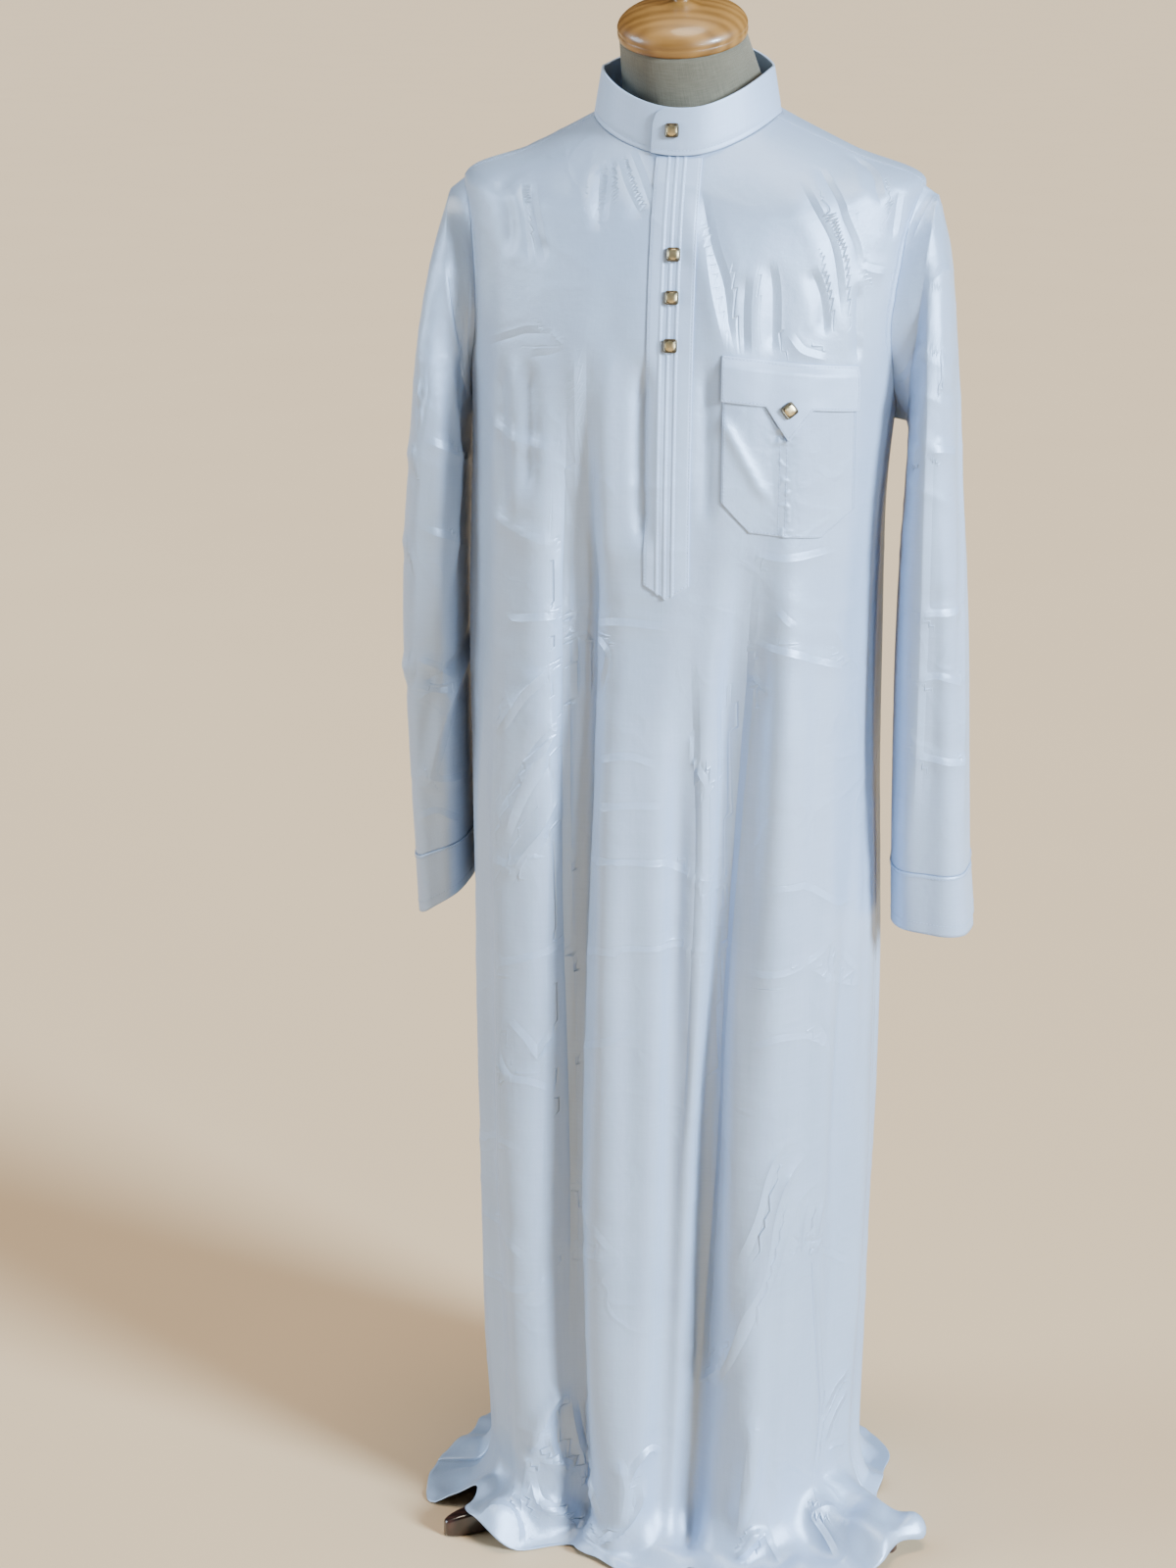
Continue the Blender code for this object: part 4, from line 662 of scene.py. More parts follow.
def crumple(points, broad, across, hang, offset):
    """Uneven waves that no crease row gives: broad, short across the cloth, and long ones that hang."""
    heights = np.empty(len(points))
    for i, (x, y, z) in enumerate(points.tolist()):
        wave = noise.noise(Vector((x * 8 + offset, y * 8, z * 4.5)))
        line = 1 - abs(noise.noise(Vector((x * 9 + offset, y * 9, z * 24 + x * 7))))
        there = noise.noise(Vector((x * 5, y * 5 + offset, z * 6)))
        fall = noise.noise(Vector((x * 27 + offset, y * 27, z * 1.7)))
        low = 0.35 * float(smooth_step(1.36, 1.24, z)) + 0.65 * float(smooth_step(1.16, 0.90, z))
        heights[i] = broad * wave + across * (line**6 - 0.35) * max(0.0, there + 0.25) + hang * low * fall
    return heights


def relief(points, normals, creases, lines, offset, broad=CRUMPLE_BROAD, across=CRUMPLE_ACROSS,
           hang=CRUMPLE_HANG):
    """How far all creases and the crumple move each point along its normal."""
    height = crumple(points, broad, across, hang, offset)
    for crease, line in zip(creases, lines):
        height += crease_height(crease, line, points, normals)
    return height


def armhole_crease(panel, wearers_left):
    """The pressed seam just inside a panel's armhole edge."""
    v = np.linspace(ARMPIT + 0.7, TIP - 0.1, 9)
    inwards = -1.5 if wearers_left == (panel == "front") else 1.5
    angle = edge_angle(v, panel, wearers_left) + inwards
    return Crease("armhole", tuple(zip(angle, v)), 0.0065, -0.0022, 0.3, 1.5, -0.0007)


def carried_behind(crease):
    """A front crease's like on the hidden back, a little off its mirror image."""
    line = tuple((4 - 0.97 * angle, min(v + 0.3, NECK - 0.7)) for angle, v in crease.line)
    return crease._replace(line=line, height=0.9 * crease.height)


def shows_behind(crease):
    """Whether the back gets a like crease: not for those at the trims, chest, sides or hem."""
    angles, places = zip(*crease.line)
    at_trim = "placket" in crease.name or "pocket" in crease.name or "left belly" in crease.name
    return (not at_trim and min(angles) > -150 and max(angles) < -28
            and min(places) > 3.0 and max(places) < 8.7)


BODY_CREASES += tuple(carried_behind(crease) for crease in BODY_CREASES if shows_behind(crease))
BODY_CREASES += tuple(armhole_crease(panel, side) for panel in ("front", "back") for side in (True, False))


def body_lines():
    lines = []
    for crease in BODY_CREASES:
        angle, v = np.array(crease.line, float).T
        lines.append(smooth_line(body(angle, v)))
    return lines


BODY_LINES = body_lines()


def dressed(angle, v, out=0.0):
    """Points of the creased body, moved out from its skin."""
    here, normal = body_skin(angle, v)
    calm = smooth_step(NECK - 1.0, NECK, v)
    height = relief(here, normal, BODY_CREASES, BODY_LINES, 0.0) * (1 - calm)
    made = here + normal * (height + out)[:, None]
    made[:, 2] = np.maximum(made[:, 2], FLOOR_CLEAR + WALL)
    return made


def panel_point(panel, across, up):
    """Points of the front or back panel, both parameters running from 0 to 1."""
    v = NECK * np.interp(up, ROW_SHARES, ROW_PLACES)
    left = edge_angle(v, panel, True)
    right = edge_angle(v, panel, False)
    start, end = (right, left) if panel == "front" else (left, right)
    return dressed(start + (end - start) * across, v)


def front_place(x, z):
    """The angle and ring number of the front's skin at the given x and height."""
    x, z = np.broadcast_arrays(np.asarray(x, float), np.asarray(z, float))
    angle = -90 + np.degrees(x / 0.2)
    v = np.interp(z, [r.front_z for r in RINGS], range(len(RINGS)))
    step = 1e-3
    for _ in range(8):
        here = body(angle, v)
        turn = (body(angle + step, v) - here) / step
        rise = (body(angle, v + step) - here) / step
        miss_x, miss_z = x - here[..., 0], z - here[..., 2]
        both = turn[..., 0] * rise[..., 2] - rise[..., 0] * turn[..., 2]
        angle = angle + (miss_x * rise[..., 2] - miss_z * rise[..., 0]) / both
        v = v + (turn[..., 0] * miss_z - turn[..., 2] * miss_x) / both
    return angle, v


def on_front(x, z, out):
    """Points above the creased front, and the normals there."""
    angle, v = front_place(x, z)
    out = np.broadcast_to(np.asarray(out, float), angle.shape)
    return dressed(angle, v, out), body_skin(angle, v)[1]


def armhole(around, wearers_left):
    """Angles and ring numbers round the armhole. 0 is the shoulder tip."""
    v = TIP - (TIP - ARMPIT) * (1 - np.abs(around / math.pi - 1))
    to_front = np.sin(around) * (1 if wearers_left else -1) < 0
    front = edge_angle(v, "front", wearers_left)
    back = edge_angle(v, "back", wearers_left)
    return np.where(to_front, front, back), v


def hanging_sleeve(rows, wearers_left, around, v):
    """Points of a sleeve's skin before its creases: v counts its sections, then the armhole."""
    side = 1 if wearers_left else -1
    low = np.minimum(v, len(rows) - 1)
    inner_x, outer_x = column(rows, "inner_x", low), column(rows, "outer_x", low)
    inner_z, outer_z = column(rows, "inner_z", low), column(rows, "outer_z", low)
    c, s = np.cos(around), np.sin(around)
    swell = 1 + column(rows, "boxy", low) * np.sin(2 * around) ** 2
    x = (inner_x + outer_x) / 2 + (outer_x - inner_x) / 2 * c * swell
    z = (inner_z + outer_z) / 2 + (outer_z - inner_z) / 2 * c * swell
    y = column(rows, "middle_y", low) + side * s * swell * column(rows, "depth", low)
    hanging = np.stack([side * x, y, z], axis=-1)
    sewn = body(*armhole(around % (2 * math.pi), wearers_left))
    return hanging + (sewn - hanging) * (v - low)[:, None]


def sleeve_skin(rows, wearers_left, around, v):
    here = hanging_sleeve(rows, wearers_left, around, v)
    turn = hanging_sleeve(rows, wearers_left, around + 0.01, v)
    turn -= hanging_sleeve(rows, wearers_left, around - 0.01, v)
    rise = hanging_sleeve(rows, wearers_left, around, v + 0.01)
    rise -= hanging_sleeve(rows, wearers_left, around, v - 0.01)
    return here, unit(np.cross(turn, rise))


def sleeve_lines(rows, wearers_left, creases):
    lines = []
    for crease in creases:
        turn, section = np.array(crease.line, float).T
        turn = np.degrees(np.unwrap(np.radians(turn)))
        steps = np.linspace(0, len(turn) - 1, (len(turn) - 1) * 6 + 1)
        turn = smooth_curve(range(len(turn)), turn, steps)
        section = smooth_curve(range(len(section)), section, steps)
        lines.append(hanging_sleeve(rows, wearers_left, np.radians(turn), section))
    return lines


def sleeve_dressed(rows, wearers_left, around, v, creases, out=0.0):
    """Points of a creased sleeve. Its last row follows the creased body."""
    here, normal = sleeve_skin(rows, wearers_left, around, v)
    lines = sleeve_lines(rows, wearers_left, creases)
    top = len(rows) - 1
    calm = smooth_step(top - 0.2, top + 0.9, v)
    offset = 3.0 if wearers_left else 6.0
    height = relief(here, normal, creases, lines, offset, hang=0.5 * CRUMPLE_HANG) * (1 - calm)
    made = here + normal * (height + out)[:, None]
    late = v > top
    if late.any():
        angle, ring = armhole(around[late] % (2 * math.pi), wearers_left)
        shift = dressed(angle, ring) - body(angle, ring)
        made[late] += shift * (v[late] - top)[:, None]
    return made


def finish(piece, look, slot, *nodes):
    """Gives a piece its material and sets it on the frame in place of its solids. The slot is not used."""
    piece.data.materials.clear()
    for material in look if isinstance(look, tuple) else (look,):
        piece.data.materials.append(material)
    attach(piece, "root")
    if nodes:
        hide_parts(*nodes)
    return piece


def new_piece(name, bm):
    mesh = bpy.data.meshes.new(name)
    bm.to_mesh(mesh)
    bm.free()
    mesh.shade_smooth()
    piece = bpy.data.objects.new(name, mesh)
    bpy.context.scene.collection.objects.link(piece)
    return piece


def warped(place, columns, rows, width, length, closed=False):
    """A grid of quads whose points go where place(across, up) says, with a UV map in metres."""
    bm = bmesh.new()
    bm.loops.layers.uv.new("UVMap")
    bmesh.ops.create_grid(bm, x_segments=columns, y_segments=rows, size=0.5, calc_uvs=True)
    uv = bm.loops.layers.uv.active
    flat = np.array([vert.co for vert in bm.verts]) + 0.5
    for vert, point in zip(bm.verts, place(flat[:, 0], flat[:, 1]).tolist()):
        vert.co = point
    for face in bm.faces:
        for loop in face.loops:
            u, v = loop[uv].uv
            loop[uv].uv = (u * width, v * length)
    if closed:
        bmesh.ops.remove_doubles(bm, verts=bm.verts, dist=1e-5)
    return bm


def cloth(name, place, columns, rows, width, length, closed=False, wall=WALL):
    """A thin shell whose outer skin is the warped grid."""
    piece = new_piece(name, warped(place, columns, rows, width, length, closed))
    shell = piece.modifiers.new("Solidify", "SOLIDIFY")
    shell.thickness = wall
    shell.offset = -1
    return piece


def stitch_line(bm, points, normals, length=STITCH_LENGTH, gap=STITCH_GAP, radius=STITCH_RADIUS):
    """Short thread ends one after another along a line that lies on a surface."""
    steps = np.linalg.norm(np.diff(points, axis=0), axis=1)
    along = np.concatenate([[0], np.cumsum(steps)])
    count = int(along[-1] / (length + gap))
    for start in np.arange(count) * (length + gap) + gap / 2:
        a, b, n = (
            np.array([np.interp(place, along, values[:, k]) for k in range(3)])
            for place, values in ((start, points), (start + length, points), (start, normals))
        )
        run, out = Vector(b - a).normalized(), Vector(n).normalized()
        across = out.cross(run).normalized()
        turn = Matrix((across, run.cross(across), run)).transposed().to_4x4()
        turn.translation = Vector((a + b) / 2) + out * radius * 0.5
        bmesh.ops.create_cone(
            bm, cap_ends=True, segments=5, radius1=radius, radius2=radius, depth=length, matrix=turn
        )


def in_nodes(tree, kind, values=None, links=None, **settings):
    """A node with its settings, its sockets' values and its incoming links."""
    node = tree.nodes.new(kind)
    for name, value in settings.items():
        setattr(node, name, value)
    for name, value in (values or {}).items():
        node.inputs[name].default_value = value
    for name, source in (links or {}).items():
        tree.links.new(source, node.inputs[name])
    return node


def group(name, inputs, outputs):
    tree = bpy.data.node_groups.new(name, "ShaderNodeTree")
    for socket, value in inputs.items():
        kind = "NodeSocketVector" if value is None else "NodeSocketFloat"
        made = tree.interface.new_socket(name=socket, in_out="INPUT", socket_type=kind)
        if value is not None:
            made.default_value = value
    for socket in outputs:
        tree.interface.new_socket(name=socket, in_out="OUTPUT", socket_type="NodeSocketFloat")
    return tree, tree.nodes.new("NodeGroupInput"), tree.nodes.new("NodeGroupOutput")


def thread_group():
    """Woven threads on a UV map in metres: the weave's height, and streaks of uneven yarn."""
    tree, given, made = group("woven threads", {"UV": None, "Pitch": 0.0005, "Slub": 0.5},
                              ["Height", "Streak"])
    split = in_nodes(tree, "ShaderNodeSeparateXYZ", links={0: given.outputs["UV"]})
    waves = []
    for axis in (0, 1):
        turns = in_nodes(tree, "ShaderNodeMath", links={0: split.outputs[axis], 1: given.outputs["Pitch"]},
                         operation="DIVIDE")
        angle = in_nodes(tree, "ShaderNodeMath", {1: 2 * math.pi}, {0: turns.outputs[0]},
                         operation="MULTIPLY")
        waves.append(in_nodes(tree, "ShaderNodeMath", links={0: angle.outputs[0]}, operation="SINE"))
    both = in_nodes(tree, "ShaderNodeMath", links={0: waves[0].outputs[0], 1: waves[1].outputs[0]},
                    operation="ADD")
    height = in_nodes(tree, "ShaderNodeMapRange", {1: -2.0, 2: 2.0}, {0: both.outputs[0]})
    streaks = []
    for scale in ((700, 25, 1), (25, 700, 1)):
        place = in_nodes(tree, "ShaderNodeMapping", {"Scale": scale}, {"Vector": given.outputs["UV"]})
        streaks.append(in_nodes(tree, "ShaderNodeTexNoise", {"Scale": 1.0, "Detail": 2.0},
                                {"Vector": place.outputs[0]}))
    streak = in_nodes(tree, "ShaderNodeMath", links={0: streaks[0].outputs[0], 1: streaks[1].outputs[0]},
                      operation="ADD")
    streak = in_nodes(tree, "ShaderNodeMath", {1: 0.5}, {0: streak.outputs[0]}, operation="MULTIPLY")
    slub = in_nodes(tree, "ShaderNodeMath", links={0: streak.outputs[0], 1: given.outputs["Slub"]},
                    operation="MULTIPLY")
    total = in_nodes(tree, "ShaderNodeMath", links={0: height.outputs[0], 1: slub.outputs[0]},
                     operation="ADD")
    tree.links.new(total.outputs[0], made.inputs["Height"])
    tree.links.new(streak.outputs[0], made.inputs["Streak"])
    return tree


def line_group():
    """Thin pressed lines from the distances stored on the mesh: a ridge with a low trough beside it."""
    tree, given, made = group("pressed lines", {"Away": 0.0, "Rise": 0.0, "Width": 0.001}, ["Height"])
    place = in_nodes(tree, "ShaderNodeMath", links={0: given.outputs["Away"], 1: given.outputs["Width"]},
                     operation="DIVIDE")
    parts = []
    for middle, size in ((0.0, 1.0), (2.6, -0.6)):
        moved = in_nodes(tree, "ShaderNodeMath", {1: middle}, {0: place.outputs[0]}, operation="SUBTRACT")
        away = in_nodes(tree, "ShaderNodeMath", links={0: moved.outputs[0]}, operation="ABSOLUTE")
        drop = in_nodes(tree, "ShaderNodeMath", {1: -1.0}, {0: away.outputs[0]}, operation="MULTIPLY")
        bell = in_nodes(tree, "ShaderNodeMath", links={0: drop.outputs[0]}, operation="EXPONENT")
        parts.append(in_nodes(tree, "ShaderNodeMath", {1: size}, {0: bell.outputs[0]},
                              operation="MULTIPLY"))
    both = in_nodes(tree, "ShaderNodeMath", links={0: parts[0].outputs[0], 1: parts[1].outputs[0]},
                    operation="ADD")
    height = in_nodes(tree, "ShaderNodeMath", links={0: both.outputs[0], 1: given.outputs["Rise"]},
                      operation="MULTIPLY")
    tree.links.new(height.outputs[0], made.inputs["Height"])
    return tree


def crumple_group():
    """Small sharp wrinkles on object coordinates, in patches: the edges of bent cells."""
    tree, given, made = group("small wrinkles", {"Vector": None, "Cells": 16.0}, ["Height"])
    bend = in_nodes(tree, "ShaderNodeTexNoise", {"Scale": 11.0, "Detail": 2.0},
                    {"Vector": given.outputs["Vector"]})
    bent = in_nodes(tree, "ShaderNodeVectorMath", {1: (0.16, 0.16, 0.16)}, {0: bend.outputs["Color"]},
                    operation="MULTIPLY")
    place = in_nodes(tree, "ShaderNodeVectorMath", links={0: given.outputs["Vector"], 1: bent.outputs[0]},
                     operation="ADD")
    cells = in_nodes(
        tree, "ShaderNodeTexVoronoi", links={"Vector": place.outputs[0], "Scale": given.outputs["Cells"]},
        feature="DISTANCE_TO_EDGE"
    )
    edge = in_nodes(tree, "ShaderNodeMapRange", {1: 0.0, 2: 0.12, 3: 1.0, 4: 0.0},
                    {0: cells.outputs["Distance"]})
    patch = in_nodes(tree, "ShaderNodeTexNoise", {"Scale": 7.0, "Detail": 2.0},
                     {"Vector": given.outputs["Vector"]})
    there = in_nodes(tree, "ShaderNodeMapRange", {1: 0.46, 2: 0.66}, {0: patch.outputs["Fac"]})
    height = in_nodes(tree, "ShaderNodeMath", links={0: edge.outputs[0], 1: there.outputs[0]},
                      operation="MULTIPLY")
    tree.links.new(height.outputs[0], made.inputs["Height"])
    return tree


def grain_group():
    """Wood grain along X in object coordinates: growth bands, fine pores and broad patches."""
    tree, given, made = group("wood grain", {"Vector": None, "Bands": 60.0, "Pores": 900.0},
                              ["Grain", "Pore", "Patch"])
    long = in_nodes(tree, "ShaderNodeMapping", {"Scale": (0.12, 1, 1)}, {"Vector": given.outputs["Vector"]})
    grain = in_nodes(
        tree,
        "ShaderNodeTexWave",
        {"Distortion": 5.0, "Detail": 3.0, "Detail Scale": 1.6},
        {"Vector": long.outputs[0], "Scale": given.outputs["Bands"]},
        bands_direction="Y",
    )
    thin = in_nodes(tree, "ShaderNodeMapping", {"Scale": (0.05, 1, 1)}, {"Vector": given.outputs["Vector"]})
    pore = in_nodes(tree, "ShaderNodeTexNoise", {"Detail": 2.0},
                    {"Vector": thin.outputs[0], "Scale": given.outputs["Pores"]})
    patch = in_nodes(tree, "ShaderNodeTexNoise", {"Scale": 22.0, "Detail": 3.0},
                     {"Vector": given.outputs["Vector"]})
    for socket, node in (("Grain", grain), ("Pore", pore), ("Patch", patch)):
        tree.links.new(node.outputs["Fac"], made.inputs[socket])
    return tree


THREADS = thread_group()
LINES = line_group()
WRINKLES = crumple_group()
GRAIN = grain_group()


def surface(name, roughness, **constants):
    """A new material, its tree and its shader, with what is the same all over set on the shader."""
    look = bpy.data.materials.new(name)
    look.use_nodes = True
    tree = look.node_tree
    shader = tree.nodes["Principled BSDF"]
    shader.inputs["Roughness"].default_value = roughness
    for socket, value in constants.items():
        shader.inputs[socket.replace("_", " ")].default_value = value
    return look, tree, shader


def blend_colours(tree, factor, dark, light):
    mix = in_nodes(tree, "ShaderNodeMix", links={"Factor": factor}, data_type="RGBA")
    mix.inputs["A"].default_value = (*dark, 1)
    mix.inputs["B"].default_value = (*light, 1)
    return mix.outputs["Result"]


def woven(name, dark, light, roughness, pitch, slub, depth, wrinkle, lined=False, **constants):
    """A woven cloth: thread height and small wrinkles as bump, and two tones in its yarn."""
    look, tree, shader = surface(name, roughness, **constants)
    place = in_nodes(tree, "ShaderNodeTexCoord")
    threads = in_nodes(tree, "ShaderNodeGroup", {}, node_tree=THREADS)
    threads.inputs["Pitch"].default_value = pitch
    threads.inputs["Slub"].default_value = slub
    tree.links.new(place.outputs["UV"], threads.inputs["UV"])
    small = in_nodes(tree, "ShaderNodeTexNoise", {"Scale": 60.0, "Detail": 5.0, "Roughness": 0.6},
                     {"Vector": place.outputs["Object"]})
    wide = in_nodes(tree, "ShaderNodeTexNoise", {"Scale": 9.0, "Detail": 3.0},
                    {"Vector": place.outputs["Object"]})
    tone = in_nodes(tree, "ShaderNodeMath", links={0: threads.outputs["Streak"], 1: wide.outputs["Fac"]},
                    operation="ADD")
    tone = in_nodes(tree, "ShaderNodeMapRange", {1: 0.7, 2: 1.3}, {0: tone.outputs[0]})
    tree.links.new(blend_colours(tree, tone.outputs[0], dark, light), shader.inputs["Base Color"])
    rough = in_nodes(tree, "ShaderNodeMapRange", {3: roughness - 0.04, 4: roughness + 0.05},
                     {0: wide.outputs["Fac"]})
    tree.links.new(rough.outputs[0], shader.inputs["Roughness"])
    creases = in_nodes(tree, "ShaderNodeBump", {"Strength": 1.0, "Distance": wrinkle},
                       {"Height": small.outputs["Fac"]})
    if lined:
        wrinkles = in_nodes(tree, "ShaderNodeGroup", {}, {"Vector": place.outputs["Object"]},
                            node_tree=WRINKLES)
        creases = in_nodes(
            tree,
            "ShaderNodeBump",
            {"Strength": 1.0, "Distance": SMALL_WRINKLE},
            {"Height": wrinkles.outputs["Height"], "Normal": creases.outputs[0]},
        )
        away = in_nodes(tree, "ShaderNodeAttribute", attribute_name="line_away")
        rise = in_nodes(tree, "ShaderNodeAttribute", attribute_name="line_rise")
        pressed = in_nodes(
            tree, "ShaderNodeGroup", {}, {"Away": away.outputs["Fac"], "Rise": rise.outputs["Fac"]},
            node_tree=LINES
        )
        pressed.inputs["Width"].default_value = LINE_WIDTH
        creases = in_nodes(
            tree,
            "ShaderNodeBump",
            {"Strength": 1.0, "Distance": 1.0},
            {"Height": pressed.outputs["Height"], "Normal": creases.outputs[0]},
        )
    weave = in_nodes(
        tree,
        "ShaderNodeBump",
        {"Strength": 0.6, "Distance": depth},
        {"Height": threads.outputs["Height"], "Normal": creases.outputs[0]},
    )
    tree.links.new(weave.outputs[0], shader.inputs["Normal"])
    return look


def wooden(name, dark, light, roughness, bands, **constants):
    """A varnished wood: growth bands and pores under a clear coat."""
    look, tree, shader = surface(name, roughness, **constants)
    place = in_nodes(tree, "ShaderNodeTexCoord")
    grain = in_nodes(tree, "ShaderNodeGroup", {}, node_tree=GRAIN)
    grain.inputs["Bands"].default_value = bands
    tree.links.new(place.outputs["Object"], grain.inputs["Vector"])
    tone = in_nodes(tree, "ShaderNodeMath", {1: 0.45}, {0: grain.outputs["Grain"]}, operation="MULTIPLY")
    tone = in_nodes(tree, "ShaderNodeMath", links={0: tone.outputs[0], 1: grain.outputs["Patch"]},
                    operation="ADD")
    tone = in_nodes(tree, "ShaderNodeMapRange", {1: 0.35, 2: 1.05}, {0: tone.outputs[0]})
    tree.links.new(blend_colours(tree, tone.outputs[0], dark, light), shader.inputs["Base Color"])
    rough = in_nodes(tree, "ShaderNodeMapRange", {3: roughness, 4: roughness + 0.15},
                     {0: grain.outputs["Patch"]})
    tree.links.new(rough.outputs[0], shader.inputs["Roughness"])
    bump = in_nodes(tree, "ShaderNodeBump", {"Strength": 0.5, "Distance": 0.0002},
                    {"Height": grain.outputs["Pore"]})
    tree.links.new(bump.outputs[0], shader.inputs["Normal"])
    return look


def metal(name, dark, light, roughness):
    """Worn plated metal: uneven tone and small dents."""
    look, tree, shader = surface(name, roughness, Metallic=1.0)
    place = in_nodes(tree, "ShaderNodeTexCoord")
    patch = in_nodes(tree, "ShaderNodeTexNoise", {"Scale": 420.0, "Detail": 4.0},
                     {"Vector": place.outputs["Object"]})
    tree.links.new(blend_colours(tree, patch.outputs["Fac"], dark, light), shader.inputs["Base Color"])
    rough = in_nodes(tree, "ShaderNodeMapRange", {3: roughness - 0.06, 4: roughness + 0.14},
                     {0: patch.outputs["Fac"]})
    tree.links.new(rough.outputs[0], shader.inputs["Roughness"])
    bump = in_nodes(tree, "ShaderNodeBump", {"Strength": 0.3, "Distance": 0.0002},
                    {"Height": patch.outputs["Fac"]})
    tree.links.new(bump.outputs[0], shader.inputs["Normal"])
    return look


def plain(name, dark, light, roughness, scale):
    """A studio floor: one paint, faintly uneven."""
    look, tree, shader = surface(name, roughness)
    place = in_nodes(tree, "ShaderNodeTexCoord")
    patch = in_nodes(tree, "ShaderNodeTexNoise", {"Scale": scale, "Detail": 3.0},
                     {"Vector": place.outputs["Object"]})
    tree.links.new(blend_colours(tree, patch.outputs["Fac"], dark, light), shader.inputs["Base Color"])
    return look


SATIN = woven(
    "white satin", (0.365, 0.465, 0.635), (0.425, 0.53, 0.70), 0.38, 0.0005, 0.6, 0.00006, 0.0006,
    lined=True,
    Sheen_Weight=0.15, Sheen_Roughness=0.35, Specular_IOR_Level=0.45, Metallic=0.26, Anisotropic=0.5,
)
TRIM_SATIN = woven(
    "stiffened white satin", (0.38, 0.485, 0.665), (0.445, 0.55, 0.73), 0.48, 0.0005, 0.6, 0.00006, 0.0004,
    Sheen_Weight=0.15, Sheen_Roughness=0.35, Specular_IOR_Level=0.5, Metallic=0.15, Anisotropic=0.4,
)
THREAD = woven("white sewing thread", (0.36, 0.45, 0.61), (0.44, 0.53, 0.69), 0.5, 0.0004, 0.4, 0.00004,
               0.0002)
LINEN = woven("grey-beige linen", (0.11, 0.095, 0.062), (0.215, 0.19, 0.135), 0.85, 0.0011, 1.6, 0.00035,
              0.0003, Sheen_Weight=0.2)
CAP_WOOD = wooden("golden varnished wood", (0.16, 0.07, 0.012), (0.30, 0.145, 0.034), 0.36, 26.0,
                  Coat_Weight=0.35, Coat_Roughness=0.14)
DARK_WOOD = wooden("dark varnished wood", (0.012, 0.005, 0.004), (0.045, 0.018, 0.013), 0.26, 40.0,
                   Coat_Weight=0.8, Coat_Roughness=0.1)
GOLD = metal("pale gold plate", (0.50, 0.39, 0.20), (0.80, 0.66, 0.40), 0.34)
AGED_RIM = metal("aged metal rim", (0.07, 0.06, 0.045), (0.20, 0.17, 0.12), 0.40)
FLOOR_PAINT = plain("pale studio floor", (0.66, 0.465, 0.275), (0.69, 0.49, 0.295), 0.85, 2.0)


def make_panels():
    """The front and the back, sewn at the sides and the shoulders, open at the armholes."""
    front = cloth("front_cloth", lambda a, u: panel_point("front", a, u), 150, 300, 0.60, 1.55)
    finish(front, SATIN, "satin", "front")
    mark_creases(front, BODY_CREASES, BODY_LINES)
    back = cloth("back_cloth", lambda a, u: panel_point("back", a, u), 120, 280, 0.60, 1.56)
    mark_creases(back, BODY_CREASES, BODY_LINES)
    finish(back, SATIN, "satin", "back")


def make_sleeve(side_name, rows, wearers_left, creases):
    """A sleeve down to its cuff's seam, and the cuff, which ends in the open hem."""
    top = len(rows)

    def sleeve(across, up):
        v = CUFF_SEAM + (top - CUFF_SEAM) * up
        return sleeve_dressed(rows, wearers_left, across * 2 * math.pi, v, creases)

    def cuff(across, up):
        v = CUFF_SEAM * up
        lip = -0.0007 * (1 - smooth_step(0.93, 1.0, up)) + 0.0010
        return sleeve_dressed(rows, wearers_left, across * 2 * math.pi, v, creases, lip)

    made = cloth(f"sleeve_{side_name}_cloth", sleeve, 108, 200, 0.34, 0.64, closed=True)
    mark_creases(made, creases, sleeve_lines(rows, wearers_left, creases))
    finish(made, SATIN, "satin", f"sleeve_{side_name}")
    band = cloth(f"cuff_{side_name}_cloth", cuff, 108, 22, 0.30, 0.065, closed=True)
    finish(band, SATIN, "satin", f"cuff_{side_name}")


def collar_point(across, up, out=0.0):
    """Points of the stiff band round the neck. Its outer end laps over its inner end."""
    lap = COLLAR_LAP / 2
    seam_radius = 0.09
    start = -90 - math.degrees((lap + 0.007) / seam_radius)
    end = start + 360 + math.degrees(COLLAR_LAP / seam_radius)
    angle = start + (end - start) * across
    base = body((angle + 180) % 360 - 180, np.full_like(angle, NECK))
    outward = unit(base * [1, 1, 0])
    along = np.radians(angle - start) * seam_radius
    lapped = 1 - smooth_step(COLLAR_LAP + 0.006, COLLAR_LAP + 0.05, along)
    short = np.clip(COLLAR_CORNER - along, 0, COLLAR_CORNER)
    drop = COLLAR_CORNER - np.sqrt(COLLAR_CORNER**2 - short**2)
    height = (0.0002 + (COLLAR_HEIGHT - drop) * up)[:, None]
    shrunk = base * (1 - COLLAR_TAPER * height / COLLAR_HEIGHT * [1, 1, 0])
    groove = 0.0004 * np.exp(-(((up - 0.11) / 0.035) ** 2))
    made = shrunk + COLLAR_LEAN * height
    return made + outward * (0.0008 + 0.0034 * lapped - groove + out)[:, None], outward


def make_collar():
    piece = cloth("collar_band", lambda a, u: collar_point(a, u)[0], 240, 22, 0.57, 0.042, wall=COLLAR_WALL)
    edge = piece.modifiers.new("Bevel", "BEVEL")
    edge.width = 0.0006
    edge.segments = 2
    edge.limit_method = "ANGLE"
    edge.angle_limit = math.radians(60)
    finish(piece, TRIM_SATIN, "stiffened_satin", "collar")
    threads = bmesh.new()
    across = np.linspace(0.004, 0.996, 400)
    points, normals = collar_point(across, np.full(400, 0.11))
    stitch_line(threads, points, normals)
    finish(new_piece("collar_stitches", threads), THREAD, "stiffened_satin")


